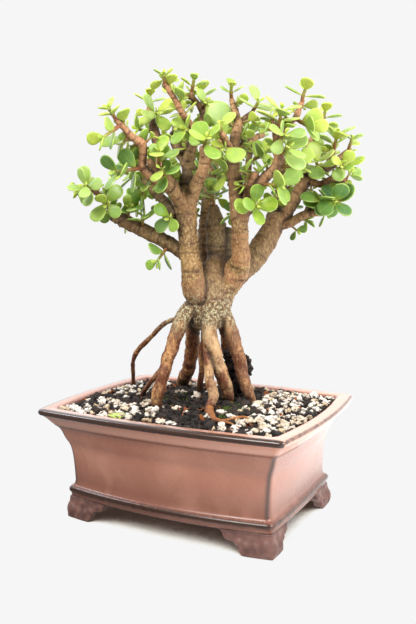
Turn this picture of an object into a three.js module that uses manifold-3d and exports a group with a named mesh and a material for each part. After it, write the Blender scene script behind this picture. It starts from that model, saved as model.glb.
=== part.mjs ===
// Dwarf jade bonsai (Portulacaria afra) in the exposed-root style, in its footed
// rectangular pot. Millimetres, +Z up. The origin is on the standing surface,
// under the middle of the whole plant and pot; +X runs along the long side of the
// pot and -Y is its front.
import * as THREE from "three";
import { mergeVertices } from "three/addons/utils/BufferGeometryUtils.js";
import Module from "manifold-3d";

const wasm = await Module();
wasm.setup();

// Pot
const RIM_LENGTH = 200;
const RIM_WIDTH = 146;
const RIM_BOW_LONG = 4.6; // how far the long sides swell outwards at mid-length
const RIM_BOW_SHORT = 5.2;
const FOOT_BOW_LONG = 7.6; // the same at the base
const FOOT_BOW_SHORT = 1.4;
const CORNER_CHAMFER = 1.6;
const SIDE_POINTS = 6; // along each side of the outline
const FLOOR_TOP = 25;
const FLOOR_REACH = 40; // inset where the walls have met the flat floor
const DRAIN_RADIUS = 8;
const DRAIN_X = 46;
// Outer wall from the underside up, then over the rim and down the inside:
// distance in from the rim's edge, height.
const UNDERSIDE = 17.5;
const OUTER_WALL = [
  [20, UNDERSIDE], [16.4, 16.3], [15.6, 18.6], [15.6, 22.2], [17, 24.4],
  [18.3, 26.5], [18.2, 32], [17.6, 45], [16.4, 55], [14.2, 60.5], [12.2, 66.5],
  [10.2, 71.4], [7, 72.6], [5.2, 76], [1.2, 81.2], [0.1, 82.8], [0.5, 85.2],
];
const RIM_TOP = [[1.6, 85.8], [5.6, 85.8], [6.8, 84.8]];
const INNER_WALL = [[8.2, 77], [15.5, 67], [21.5, 57], [24, 42], [24.6, 29], [27, FLOOR_TOP]];
const FOOT = {
  inset: 15.8,
  length: 39, // along the long side
  run: 31, // along the short side
  height: 16.6,
  thick: 8,
  flare: 2.4,
  toe: 4.2,
};

// The middle of the pot from the middle of the whole, which is the origin.
const POT_MIDDLE = [-2, 0, 0];

// Soil
const SOIL_GAP = 0.35;
const SOIL_EDGE = 81.5;
const SOIL_EDGE_INSET = 7.95;
const SOIL_RISE = 5.5;
const SOIL_REACH = 52; // inset up to which its sides keep their slope
const SCREEN_ROOM = 0.35; // round the drain screen
const SCREEN = { length: 118, width: 24, thick: 1, hole: 5, pitch: 3.3 };
const GRAIN_COUNT = 36;

// Wood and leaves
const TWIG_RADIUS = 1.3;
const TWIG_CLEARANCE = 0.5;
const TWIG_GAP = 0.35;
const FOOT_OUT = 0.45; // a leaf's foot, out from the middle of its twig
const LEAF_THICK = 2.5;
const LEAF_SPACING = 3.5; // between the test points of two leaves
const LEAF_TO_WOOD = 1.9;
const CROWN_MIDDLE = new THREE.Vector3(12, 14, 205);
const ROOT_HOLE_GAP = 0.35; // between a root and the soil that it goes into

const V = (p) => new THREE.Vector3(p[0], p[1], p[2]);
const mix = THREE.MathUtils.lerp;
const clamp = THREE.MathUtils.clamp;

// A seeded row of numbers from 0 to 1.
function dice(seed) {
  let state = seed >>> 0;
  return () => {
    state = (Math.imul(state, 1664525) + 1013904223) >>> 0;
    return state / 4294967296;
  };
}

// Solids

// Turns a closed geometry into a solid whose faces point out.
function solid(geometry) {
  const bare = geometry.clone();
  bare.deleteAttribute("normal");
  bare.deleteAttribute("uv");
  const merged = mergeVertices(bare, 1e-4);
  const make = (triVerts) =>
    new wasm.Manifold(
      new wasm.Mesh({
        numProp: 3,
        vertProperties: merged.attributes.position.array,
        triVerts,
      }),
    );
  const triangles = new Uint32Array(merged.index.array);
  const made = make(triangles);
  if (made.volume() > 0) return made;
  for (let i = 0; i < triangles.length; i += 3)
    [triangles[i], triangles[i + 1]] = [triangles[i + 1], triangles[i]];
  return make(triangles);
}

function join(solids) {
  return solids.reduce((whole, one) => whole.add(one));
}

function geometryOf(made) {
  const mesh = made.getMesh();
  const geometry = new THREE.BufferGeometry();
  const points = new THREE.BufferAttribute(mesh.vertProperties, 3);
  geometry.setAttribute("position", points);
  geometry.setIndex(new THREE.BufferAttribute(mesh.triVerts, 1));
  geometry.computeVertexNormals();
  return geometry;
}

function meshOf(name, made, colour, roughness) {
  const material = new THREE.MeshStandardMaterial({
    color: colour,
    roughness,
    metalness: 0,
    flatShading: true,
  });
  const mesh = new THREE.Mesh(geometryOf(made), material);
  mesh.name = name;
  return mesh;
}

// Moves every vertex of a geometry by a function of its place.
function reshape(geometry, move) {
  const at = geometry.attributes.position;
  const p = new THREE.Vector3();
  for (let i = 0; i < at.count; i++) {
    p.fromBufferAttribute(at, i);
    move(p);
    at.setXYZ(i, p.x, p.y, p.z);
  }
  return geometry;
}

// The cross sections of a limb: one at each of its points, square to the curve.
function limbFrames(points) {
  const curve = new THREE.CatmullRomCurve3(points.map(V), false, "centripetal");
  const steps = points.length - 1;
  let side = null;
  return points.map((point, i) => {
    const along = curve.getTangent(i / steps);
    if (!side) side = new THREE.Vector3(along.z, 0, -along.x).normalize();
    side = side.clone().addScaledVector(along, -side.dot(along)).normalize();
    const up = along.clone().cross(side);
    return { at: V(point), along, side, up, radius: point[3] };
  });
}

// A tube through the points, each with its own radius in the fourth place, flat
// at both ends and thicker all over by an extra amount.
function limb(points, { sides = 7, extra = 0 } = {}) {
  const frames = limbFrames(points);
  const steps = frames.length - 1;
  frames[0].at.addScaledVector(frames[0].along, -extra);
  frames[steps].at.addScaledVector(frames[steps].along, extra);
  const unit = new THREE.CylinderGeometry(1, 1, 1, sides, steps);
  reshape(unit, (p) => {
    const frame = frames[Math.round((p.y + 0.5) * steps)];
    const { x, z } = p;
    p.copy(frame.at);
    p.addScaledVector(frame.side, x * (frame.radius + extra));
    p.addScaledVector(frame.up, z * (frame.radius + extra));
  });
  return solid(unit);
}

// Pot

// The outline of the pot at a distance in from the rim's edge: a rectangle with
// chamfered corners whose sides swell outwards.
function outline(turn, inset, height) {
  const step = Math.round(turn * 4 * SIDE_POINTS);
  const side = Math.floor(step / SIDE_POINTS) % 4;
  const j = step % SIDE_POINTS;
  const halfX = RIM_LENGTH / 2 - inset;
  const halfY = RIM_WIDTH / 2 - inset;
  const flare = clamp((height - 25) / 57, 0, 1);
  const longBow = mix(FOOT_BOW_LONG, RIM_BOW_LONG, flare);
  const shortBow = mix(FOOT_BOW_SHORT, RIM_BOW_SHORT, flare);
  const alongX = side % 2 === 1;
  const half = alongX ? halfX : halfY;
  const t = (1 - CORNER_CHAMFER / half) * ((2 * j) / (SIDE_POINTS - 1) - 1);
  const swell = 1 - t * t;
  const sign = side < 2 ? 1 : -1;
  return alongX
    ? [-sign * halfX * t, sign * (halfY + longBow * swell)]
    : [sign * (halfX + shortBow * swell), sign * halfY * t];
}

// Spins a profile of inset and height, then squares the turned shape.
function squared(profile, deepest) {
  const reach = RIM_WIDTH / 2;
  const points = profile.map(([inset, z]) => new THREE.Vector2(reach - inset, z));
  const lathe = new THREE.LatheGeometry(points, 4 * SIDE_POINTS);
  return reshape(lathe, (p) => {
    const turn = (Math.atan2(p.x, p.z) / (2 * Math.PI) + 1) % 1;
    const radius = Math.hypot(p.x, p.z);
    const inset = Math.min(reach - radius, deepest);
    const height = p.y;
    const [x, y] = outline(turn, inset, height);
    const shrink = Math.min(1, radius / (reach - deepest));
    p.set(x * shrink, y * shrink, height);
  });
}

// One scroll foot at a corner: two brackets that meet at the corner, each a
// cloud-shaped plate whose lower edge curls forward, and which follows the bow of
// the side above it.
function bracket(length) {
  const { height, toe } = FOOT;
  const shape = new THREE.Shape();
  shape.moveTo(0, 0);
  shape.lineTo(length * 0.5, 0);
  shape.quadraticCurveTo(length * 0.62, 0.2, length * 0.6, toe);
  shape.quadraticCurveTo(length * 0.57, toe * 1.9, length * 0.7, toe * 2.1);
  shape.quadraticCurveTo(length * 0.86, toe * 2.0, length * 0.88, toe * 2.9);
  shape.quadraticCurveTo(length * 0.9, height - 1, length, height);
  shape.lineTo(0, height);
  shape.closePath();
  return shape;
}

function footAt(signX, signY) {
  const { length, run, thick, flare, height } = FOOT;
  const cornerX = RIM_LENGTH / 2 - FOOT.inset;
  const cornerY = RIM_WIDTH / 2 - FOOT.inset;
  const plates = [length, run].map((long, along) => {
    const plate = new THREE.ExtrudeGeometry(bracket(long), {
      depth: thick,
      bevelEnabled: false,
      curveSegments: 2,
    });
    return reshape(plate, (p) => {
      const out = flare * Math.max(0, 1 - p.y / height) ** 1.5;
      const inward = thick - p.z;
      const spread = out * (inward < thick / 2 ? 1 : 0.35);
      const across = inward - spread;
      const runAlong = p.x - out * 0.8;
      const x = cornerX - (along ? across : runAlong);
      const y = cornerY - (along ? runAlong : across);
      const bowX = FOOT_BOW_SHORT * Math.max(0, 1 - (y / cornerY) ** 2);
      const bowY = FOOT_BOW_LONG * Math.max(0, 1 - (x / cornerX) ** 2);
      p.set(signX * (x + bowX), signY * (y + bowY), p.y);
    });
  });
  return plates.map(solid);
}

function pot() {
  const middle = RIM_WIDTH / 2;
  const walls = [...OUTER_WALL, ...RIM_TOP, ...INNER_WALL];
  const profile = [[middle, UNDERSIDE], ...walls, [middle, FLOOR_TOP]];
  const body = solid(squared(profile, FLOOR_REACH));
  const feet = [[1, 1], [1, -1], [-1, 1], [-1, -1]].flatMap(([x, y]) => footAt(x, y));
  const drains = [-DRAIN_X, DRAIN_X].map((x) => {
    const hole = new THREE.CylinderGeometry(DRAIN_RADIUS, DRAIN_RADIUS, 20, 16);
    hole.rotateX(Math.PI / 2).translate(x, 0, FLOOR_TOP - 4);
    return solid(hole);
  });
  return join([body, ...feet]).subtract(join(drains));
}

// Drain screen: one strip of plastic net over both drain holes.
function drainScreen() {
  const { length, width, thick, hole, pitch } = SCREEN;
  const strip = new THREE.BoxGeometry(length, width, thick);
  const holes = [];
  for (const middle of [-DRAIN_X, DRAIN_X])
    for (const i of [-1, 1])
      for (const j of [-1, 1]) {
        const box = new THREE.BoxGeometry(hole, hole, 3 * thick);
        holes.push(solid(box.translate(middle + i * pitch, j * pitch, 0)));
      }
  const net = solid(strip).subtract(join(holes));
  return net.translate(0, 0, FLOOR_TOP + SOIL_GAP + thick / 2);
}

// Wood: x, y, z and radius along each limb, in the pot's own frame.
const ROOTS = {
  rootLeft: [
    [-1, -6, 160, 7], [-6, -11, 153, 6.5], [-10, -16, 140, 5.5], [-14, -21, 123, 5],
    [-17, -26, 108, 4.5], [-20, -29, 93, 4.5], [-21, -29, 85, 4], [-21, -29, 78, 3.6],
  ],
  rootLeftSmall: [
    [-14, -22, 118, 3.5], [-25, -21, 108, 2.5], [-38, -13, 98, 2], [-50, -4, 86, 2],
    [-53, -2, 79, 1.6],
  ],
  rootWire: [
    [-2, -3, 158, 4], [-10, -5, 152, 2.2], [-27, -4, 146, 2], [-44, 1, 133, 2],
    [-61, 7, 120, 2.2], [-70, 14, 110, 1.8], [-80, 28, 96, 1.8], [-84, 34, 84, 1.8],
    [-85, 36, 77, 1.5],
  ],
  rootBackLeft: [
    [-2, 5, 156, 7], [-9, 8, 141, 6], [-16, 18, 122, 5.5], [-26, 29, 104, 5.5],
    [-43, 46, 86, 5], [-48, 51, 77, 4.2],
  ],
  rootInner: [
    [7, 1, 150, 4.5], [6, 0, 139, 3.5], [2, 2, 126, 3], [-1, 6, 109, 2.5], [-9, 15, 87, 2.2],
    [-11, 18, 79, 2],
  ],
  rootCentre: [
    [11, -6, 136, 3.5], [14, -11, 120, 3.5], [18, -16, 106, 3.8], [23, -20, 96, 3.8],
    [22, -26, 87, 3.2], [25, -31, 78, 2.8],
  ],
  rootFront: [
    [13, -2, 158, 7.5], [13, -7, 143, 6], [17, -7, 128, 5.2], [20, -4, 113, 5.2],
    [24, -1, 99, 5], [23, 4, 87, 4.6], [23, 6, 78, 4],
  ],
  rootRight: [
    [15, 7, 158, 7.5], [22, 11, 139, 6], [28, 12, 121, 5.2], [32, 12, 103, 4.6],
    [39, 13, 86, 3.8], [42, 14, 78, 3.2],
  ],
  rootBackRight: [
    [10, 16, 157, 7], [10, 25, 139, 4.8], [7, 36, 119, 4.5], [6, 46, 100, 4],
    [6, 51, 86, 3.6], [6, 52, 78, 3.2],
  ],
};

const LIMBS = {
  trunk: [
    [6, 5, 143, 12], [6, 5, 155, 16], [7, 6, 166, 18], [8, 7, 176, 17.5],
    [9, 9, 185, 12],
  ],
  leftLeader: [
    [3, -4, 161, 7], [2, -9, 174, 9], [2, -12, 188, 8.2], [0, -12, 203, 7.2],
    [-1, -12, 217, 7.1], [-2, -12, 231, 7.9], [-2, -13, 241, 8.3],
  ],
  leftFork: [
    [-2, -12, 234, 7.5], [-6, -20, 245, 5.7], [-8, -29, 253, 4.9], [-9, -34, 259, 3.9],
  ],
  leftReach: [
    [-7, -24, 247, 3.7], [-12, -32, 252, 3.5], [-17, -39, 257, 3.4],
    [-19, -43, 263, 2.9], [-16, -46, 271, 2.9], [-14, -50, 277, 2.9],
    [-18, -56, 281, 2.5], [-21, -62, 287, 2.1], [-23, -67, 291, 1.9],
  ],
  leftKnob: [[-9, -30, 255, 3.5], [-11, -39, 261, 2.5], [-11, -47, 265, 2.5]],
  midDark: [[-3, -10, 234, 7.5], [-4, -7, 250, 6], [-4, -3, 262, 5], [-5, -1, 279, 4.2]],
  darkLeft: [
    [-4, -5, 264, 4.2], [-14, 3, 275, 4], [-24, 11, 285, 3.6], [-30, 19, 292, 3.1],
  ],
  darkRight: [[-4, -4, 269, 3.8], [0, -4, 278, 3.4], [5, -5, 286, 3.2], [6, -7, 291, 3]],
  longRed: [
    [5, -7, 287, 2.6], [3, -14, 294, 2.4], [2, -20, 298, 2.2], [-1, -27, 309, 2],
    [-4, -35, 318, 1.7],
  ],
  straightRed: [[6, -6, 288, 2.6], [6, 0, 298, 2.1], [4, 6, 306, 2], [2, 8, 311, 1.9]],
  straightSide: [[5, 3, 302, 2.1], [3, 0, 309, 2], [1, -5, 313, 2], [1, -6, 316, 1.9]],
  rightFork: [
    [-2, -12, 234, 6.9], [10, -17, 250, 4.5], [17, -21, 258, 4.1], [21, -24, 266, 3.9],
    [23, -29, 273, 3.3],
  ],
  backSlim: [
    [2, 14, 170, 6], [-6, 23, 192, 4.8], [-10, 29, 209, 4.7], [-10, 35, 229, 5.1],
    [-11, 42, 249, 4.7], [-11, 49, 267, 4.3], [-13, 55, 279, 3.6], [-10, 63, 291, 2.9],
  ],
  centreStub: [
    [8, 10, 172, 10], [10, 14, 190, 8.4], [10, 15, 206, 8.5], [9, 16, 221, 8],
    [8, 15, 233, 7],
  ],
  rightLeader: [
    [14, 7, 170, 12], [28, 9, 186, 9.6], [34, 5, 196, 7.2], [35, 2, 207, 6.2],
    [36, 0, 218, 6.2], [35, -1, 231, 5.9], [35, -3, 246, 5.3], [34, -6, 261, 4.9],
    [35, -7, 276, 4.3],
  ],
  rightTop: [
    [35, -7, 273, 4.1], [35, -4, 284, 3.6], [36, -1, 292, 3.2], [33, 1, 300, 2.6],
    [29, 3, 310, 2.1],
  ],
  rightTopTwig: [[35, -1, 289, 2.4], [37, 6, 296, 2], [40, 13, 301, 1.8]],
  oliveTwig: [[35, -6, 271, 3.2], [37, 9, 280, 2.5], [43, 26, 287, 2.2]],
  shortRed: [[35, -9, 272, 3], [36, -22, 278, 2.4], [38, -31, 282, 2]],
  candelabra: [
    [35, 2, 217, 4.8], [43, -4, 234, 4.2], [47, -5, 243, 4.1], [52, -7, 248, 3.9],
    [59, -6, 253, 3.7], [66, -4, 260, 3.6], [69, -5, 267, 3.5], [69, -7, 276, 3.4],
    [69, -9, 284, 3.2],
  ],
  candelabraStub: [[48, -6, 243, 3.5], [50, -9, 249, 3.3], [54, -12, 256, 2.4]],
  candelabraLeft: [[69, -8, 282, 2.5], [69, -15, 288, 2]],
  candelabraRight: [
    [69, -8, 281, 2.7], [74, -1, 289, 2.4], [78, 4, 294, 2.1], [79, 9, 302, 1.9],
    [80, 10, 304, 1.8],
  ],
  rightBough: [
    [13, 13, 174, 12], [24, 21, 186, 10.6], [32, 29, 194, 9.6], [39, 36, 206, 9],
    [43, 42, 217, 8], [46, 44, 224, 7],
  ],
  boughBack: [
    [42, 44, 215, 6.4], [42, 51, 231, 5.5], [44, 58, 243, 5], [43, 63, 257, 4.4],
    [44, 69, 270, 3.5],
  ],
  boughRight: [
    [45, 43, 219, 6], [53, 46, 228, 4.8], [58, 49, 237, 4.6], [63, 51, 247, 4.5],
    [68, 54, 254, 4.5], [75, 57, 260, 4], [83, 61, 264, 3.5], [89, 65, 269, 3],
    [95, 68, 275, 2.1],
  ],
  boughLow: [
    [46, 43, 219, 4.4], [58, 45, 222, 3.6], [67, 47, 227, 3.4], [74, 49, 229, 3],
    [80, 51, 229, 2.6], [87, 52, 233, 2.3], [93, 54, 236, 2.1],
  ],
  lowStub: [[68, 48, 226, 2.6], [71, 49, 233, 2.5]],
  boughThin: [
    [65, 54, 250, 2.8], [63, 61, 264, 2.5], [63, 65, 276, 2.4], [66, 67, 285, 2.3],
    [71, 69, 292, 2.1], [75, 70, 297, 2],
  ],
  boughRed: [
    [69, 54, 254, 3], [79, 50, 250, 2.5], [86, 48, 252, 2.4], [93, 49, 257, 2.1],
    [97, 50, 261, 2],
  ],
  boughRedStub: [[88, 48, 253, 2], [95, 49, 252, 1.9], [99, 50, 252, 1.8]],
  boughTwig: [[80, 60, 262, 2.6], [84, 59, 269, 2.1], [87, 58, 275, 1.8]],
  leftArm: [
    [-2, -7, 197, 5.6], [-12, -7, 203, 5.6], [-23, -11, 210, 5.4], [-34, -15, 216, 5.2],
    [-44, -21, 222, 5.2], [-51, -27, 227, 5], [-55, -30, 229, 4.6],
  ],
  armTwig: [
    [-51, -28, 228, 2.8], [-54, -38, 237, 2.4], [-57, -46, 245, 2.1], [-59, -53, 248, 2],
  ],
  upperArm: [
    [-2, -11, 222, 5], [-16, -8, 232, 3.7], [-27, -4, 241, 3.5], [-37, -2, 248, 3.3],
    [-47, 1, 254, 3.1], [-55, 4, 260, 2.6],
  ],
  redMid: [
    [-8, -23, 249, 3.9], [-17, -17, 258, 3.6], [-25, -10, 267, 3.5], [-31, -3, 280, 3.5],
    [-36, 2, 292, 3.6], [-42, 7, 303, 3.1], [-47, 11, 311, 2.5],
  ],
  shadeStem: [
    [33, 5, 226, 4.5], [30, 22, 242, 3], [27, 34, 258, 2.5], [24, 42, 271, 2.4],
    [23, 49, 282, 2.2],
  ],
};

// Leafy twigs: start on a limb, tip, pairs of leaves, length of the first pair
// and of the last, turn of the first pair about the twig, and how far the
// leaves lean away from it, in degrees.
const TWIGS = {
  armEnd: [[-59, -52, 247], [-55, -61, 249], 3, 15, 13, 100, 68],
  armMiddle: [[-54, -40, 239], [-47, -48, 237], 2, 16, 14, 48, 72],
  armTop: [[-46, -23, 224], [-42, -28, 232], 2, 13, 11, 10, 62],
  armUnder: [[-18, -10, 207], [-22, -21, 195], 2, 14, 11, 90, 60],
  armRed: [[-37, -17, 218], [-33, -23, 227], 2, 13, 11, 20, 55],
  hangingLeft: [[-44, 0, 252], [-46, -8, 241], 3, 18, 13, 80, 40],
  upperArmEnd: [[-51, 3, 258], [-56, -6, 261], 3, 15, 14, 60, 60],
  leftMiddle: [[-19, -44, 261], [-30, -59, 258], 3, 16, 14, 90, 62],
  reachEnd: [[-23, -67, 291], [-25, -71, 297], 2, 11, 9, 10, 60],
  reachHanging: [[-22, -65, 288], [-28, -75, 280], 2, 14, 13, 60, 50],
  reachLow: [[-19, -57, 283], [-27, -55, 277], 2, 19, 15, 60, 35],
  reachBack: [[-15, -51, 277], [-26, -46, 276], 2, 15, 14, 80, 60],
  redMidEnd: [[-47, 11, 311], [-45, 10, 321], 2, 14, 11, 10, 65],
  redMidFront: [[-42, 8, 304], [-33, -1, 306], 3, 16, 15, 30, 72],
  redMidLeft: [[-36, 2, 292], [-42, -10, 293], 3, 16, 14, 50, 60],
  forkFront: [[-10, -36, 260], [-4, -44, 271], 3, 15, 14, 70, 68],
  forkRound: [[-7, -24, 249], [-4, -37, 256], 3, 15, 13, 80, 72],
  darkLeftEnd: [[-30, 19, 292], [-24, 9, 294], 3, 16, 14, 40, 72],
  darkRightFront: [[5, -6, 287], [4, -17, 288], 2, 17, 14, -40, 70],
  longRedEnd: [[-4, -35, 318], [-3, -37, 323], 1, 9, 8, 0, 62],
  sideEnd: [[1, -6, 316], [3, -7, 322], 2, 10, 8, 0, 60],
  sideLow: [[2, -2, 311], [-3, -11, 315], 2, 17, 15, 80, 60],
  straightEnd: [[2, 8, 310], [2, 8, 316], 2, 12, 10, 20, 65],
  heroTwig: [[4, 6, 307], [12, -4, 309], 1, 24, 11, -50, 80],
  forkEnd: [[23, -29, 272], [30, -37, 279], 2, 17, 15, -80, 74],
  darkBack: [[-5, -2, 267], [-5, 11, 273], 3, 15, 14, 80, 65],
  darkBackLow: [[-4, -7, 248], [-16, 2, 257], 3, 14, 14, 40, 62],
  slimLow: [[-11, 42, 251], [-1, 41, 258], 3, 16, 14, 50, 65],
  slimEnd: [[-10, 63, 291], [-7, 67, 299], 3, 14, 12, 30, 62],
  slimFar: [[-11, 37, 235], [-24, 48, 247], 3, 16, 15, 30, 62],
  stubTop: [[8, 15, 230], [9, 9, 241], 3, 15, 14, 0, 65],
  upperArmFront: [[-12, -9, 229], [-10, -22, 227], 2, 16, 13, 40, 70],
  rightTopEnd: [[29, 3, 310], [30, 1, 315], 2, 10, 9, 10, 62],
  topTwigEnd: [[40, 13, 301], [45, 12, 307], 2, 16, 14, -8, 78],
  shadeUp: [[23, 49, 282], [23, 50, 291], 3, 16, 15, 20, 68],
  shadeMiddle: [[25, 42, 270], [35, 42, 273], 3, 17, 16, 60, 66],
  leaderFront: [[34, -7, 272], [36, -19, 273], 1, 18, 11, -35, 76],
  candelabraNode: [[43, -3, 233], [52, -10, 234], 3, 16, 14, 0, 74],
  candelabraTwig: [[54, -7, 249], [68, -7, 247], 3, 17, 16, 60, 64],
  candelabraTop: [[69, -9, 283], [72, -10, 294], 3, 16, 14, 0, 72],
  candelabraFront: [[69, -8, 277], [78, -16, 280], 2, 16, 14, 80, 70],
  candelabraLow: [[69, -5, 267], [78, -13, 271], 3, 19, 15, -60, 72],
  candelabraMiddle: [[66, -4, 260], [81, 1, 260], 3, 16, 15, 80, 64],
  candelabraRightEnd: [[80, 10, 304], [82, 10, 311], 2, 15, 13, 0, 72],
  candelabraRightLow: [[77, 4, 293], [85, 3, 288], 3, 16, 14, 60, 50],
  thinEnd: [[75, 70, 297], [76, 70, 305], 2, 14, 12, 0, 72],
  boughTwigEnd: [[87, 58, 275], [89, 57, 283], 3, 17, 15, 10, 66],
  boughFront: [[77, 58, 261], [78, 46, 266], 3, 17, 16, 10, 72],
  boughEnd: [[95, 68, 275], [97, 68, 281], 2, 12, 9, 60, 60],
  boughEndLow: [[91, 66, 271], [98, 63, 263], 2, 15, 11, 80, 50],
  redEnd: [[97, 50, 261], [99, 44, 262], 2, 13, 10, 60, 62],
  lowNode: [[93, 54, 236], [94, 44, 237], 3, 17, 16, 45, 76],
  lowSide: [[83, 52, 231], [83, 42, 237], 3, 16, 15, -10, 70],
  backEnd: [[44, 69, 270], [44, 70, 280], 3, 14, 12, 30, 66],
  backMiddle: [[44, 58, 244], [47, 69, 250], 3, 15, 14, 30, 66],
};

// Distance from a point to the surface of a limb's plain skeleton.
function skeletonClearance(point, pieces) {
  const nearest = new THREE.Vector3();
  let least = Infinity;
  for (const [a, b, ra, rb] of pieces) {
    const span = nearest.copy(b).sub(a);
    const length = span.lengthSq();
    const t = clamp(point.clone().sub(a).dot(span) / length, 0, 1);
    const distance = nearest.copy(a).lerp(b, t).distanceTo(point) - mix(ra, rb, t);
    least = Math.min(least, distance);
  }
  return least;
}

function bonesOf(limbs) {
  return Object.values(limbs).flatMap((points) =>
    points.slice(1).map((end, i) => [V(points[i]), V(end), points[i][3], end[3]]),
  );
}

const BONES = bonesOf({ ...ROOTS, ...LIMBS });

// Where each twig leaves the wood: the first place that is clear of every limb.
function plantTwig(entry) {
  const [start, tip, pairs, first, last, turn, splay] = entry;
  const base = V(start);
  const axis = V(tip).sub(base);
  const given = axis.length();
  axis.normalize();
  let cut = 0;
  const probe = new THREE.Vector3();
  while (cut < 30) {
    probe.copy(base).addScaledVector(axis, cut);
    if (skeletonClearance(probe, BONES) > TWIG_RADIUS + TWIG_CLEARANCE) break;
    cut += 0.25;
  }
  const length = Math.max(given, cut + 2.4 + 3.2 * (pairs - 1));
  return { base, axis, cut, length, pairs, first, last, turn, splay };
}

// Frame of a twig: two directions square to it, the first one level.
function twigFrame(axis) {
  const up = new THREE.Vector3(0, 0, 1);
  if (Math.abs(axis.z) > 0.85) up.set(0.47, -0.88, 0);
  const level = up.cross(axis).normalize();
  return { level, rise: axis.clone().cross(level) };
}

// Where one leaf lies: its foot, its direction and its face.
function layLeaf(twig, frame, along, turn, splay, size, twist) {
  const foot = twig.base.clone().addScaledVector(twig.axis, along);
  const out = frame.level.clone().multiplyScalar(Math.cos(turn));
  out.addScaledVector(frame.rise, Math.sin(turn));
  const way = out.clone().multiplyScalar(Math.sin(splay));
  way.addScaledVector(twig.axis, Math.cos(splay)).normalize();
  const face = twig.axis.clone().addScaledVector(way, -twig.axis.dot(way)).normalize();
  foot.addScaledVector(out, FOOT_OUT);
  const light = foot.clone().sub(CROWN_MIDDLE).normalize();
  light.z += 0.5;
  light.addScaledVector(way, -light.dot(way));
  if (light.length() > 0.2) face.addScaledVector(light.normalize(), 0.8);
  face.applyAxisAngle(way, twist).normalize();
  const across = way.clone().cross(face).normalize();
  return { foot, way, face, across, size };
}

const TEST_SPOTS = [
  [0.3, 0], [0.55, 0.24], [0.55, -0.24], [0.55, 0], [0.82, 0.24], [0.82, -0.24],
  [0.82, 0], [1, 0],
];

function spotsOf(leaf) {
  return TEST_SPOTS.map(([along, across]) =>
    leaf.foot
      .clone()
      .addScaledVector(leaf.way, along * leaf.size)
      .addScaledVector(leaf.across, across * leaf.size),
  );
}

// Leaves go on in crossed pairs. One that would touch the wood or another twig's
// leaves is tried again a little turned and shorter, and is left out in the end.
function growLeaves() {
  const placed = [];
  const twigs = Object.entries(TWIGS).map(([name, entry], i) => {
    return { name, index: i, ...plantTwig(entry) };
  });
  const twigBones = twigs.map((t) => [
    t.base.clone().addScaledVector(t.axis, t.cut),
    t.base.clone().addScaledVector(t.axis, t.length + 0.6),
    TWIG_RADIUS,
    TWIG_RADIUS,
  ]);
  for (const twig of twigs) {
    const roll = dice(977 + 131 * twig.index);
    const frame = twigFrame(twig.axis);
    const others = twigBones.filter((bone, i) => i !== twig.index);
    const bones = [...BONES, ...others];
    const firstAt = twig.cut + 1;
    const lastAt = twig.length - 0.5;
    twig.leaves = [];
    for (let pair = 0; pair < twig.pairs; pair++) {
      const t = twig.pairs > 1 ? pair / (twig.pairs - 1) : 1;
      const along = mix(Math.min(firstAt, lastAt), lastAt, t);
      const size = mix(twig.first, twig.last, twig.pairs > 1 ? t : 0);
      for (const half of [0, 1]) {
        const length = twig.pairs === 1 && half === 1 ? twig.last : size;
        const turn = THREE.MathUtils.degToRad(twig.turn + 90 * pair + 180 * half);
        for (let tries = 0; tries < 7; tries++) {
          const loose = tries * 0.14;
          const a = turn + (roll() - 0.5) * (0.2 + loose);
          const lean = twig.splay + (roll() - 0.5) * (10 + 9 * tries) - 12 * t;
          const s = THREE.MathUtils.degToRad(lean);
          const long = length * (1 + (roll() - 0.5) * 0.12 - 0.05 * tries);
          const twist = (roll() - 0.5) * (0.5 + loose);
          const leaf = layLeaf(twig, frame, along, a, s, long, twist);
          const spots = spotsOf(leaf);
          const clear = spots.every(
            (spot) =>
              skeletonClearance(spot, bones) > LEAF_TO_WOOD &&
              placed.every((p) => p.twig === twig || p.spot.distanceTo(spot) > LEAF_SPACING),
          );
          if (!clear) continue;
          twig.leaves.push(leaf);
          for (const spot of spots) placed.push({ twig, spot });
          break;
        }
      }
    }
  }
  return twigs;
}

// A fleshy leaf: a six-cornered outline, widest beyond the middle, with a
// raised middle on both faces. Shares of its length, along it and across.
const LEAF_OUTLINE = [
  [0, 0], [0.4, 0.34], [0.84, 0.38], [1, 0], [0.84, -0.38], [0.4, -0.34],
];
const LEAF_RIDGE = 0.58;

function leafSolid({ foot, way, face, across, size }) {
  const corners = LEAF_OUTLINE.length;
  const body = new THREE.SphereGeometry(1, corners, 2);
  reshape(body, (p) => {
    const turned = Math.atan2(p.z, p.x) / (2 * Math.PI) + 1;
    const onRim = Math.abs(p.y) < 0.5;
    const corner = LEAF_OUTLINE[Math.round(turned * corners) % corners];
    const [a, c] = onRim ? corner : [LEAF_RIDGE, 0];
    const lift = onRim ? 0 : (Math.sign(p.y) * LEAF_THICK) / 2;
    p.copy(foot);
    p.addScaledVector(way, a * size);
    p.addScaledVector(across, c * size);
    p.addScaledVector(face, lift);
  });
  return solid(body);
}

function twigSolid(twig, from, to, radius, endRadius, sides) {
  const a = twig.base.clone().addScaledVector(twig.axis, from);
  const b = twig.base.clone().addScaledVector(twig.axis, to);
  return limb([[...a.toArray(), radius], [...b.toArray(), endRadius]], { sides });
}

const rootSides = (points) => (points[0][3] > 4.5 ? 7 : 5);

function limbSides(points) {
  return Math.max(...points.map((p) => p[3])) > 6.5 ? 8 : 5;
}

function wood(extra) {
  const roots = Object.values(ROOTS);
  const limbs = Object.values(LIMBS);
  return join([
    ...roots.map((p) => limb(p, { sides: rootSides(p), extra })),
    ...limbs.map((p) => limb(p, { sides: limbSides(p), extra })),
  ]);
}

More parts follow.
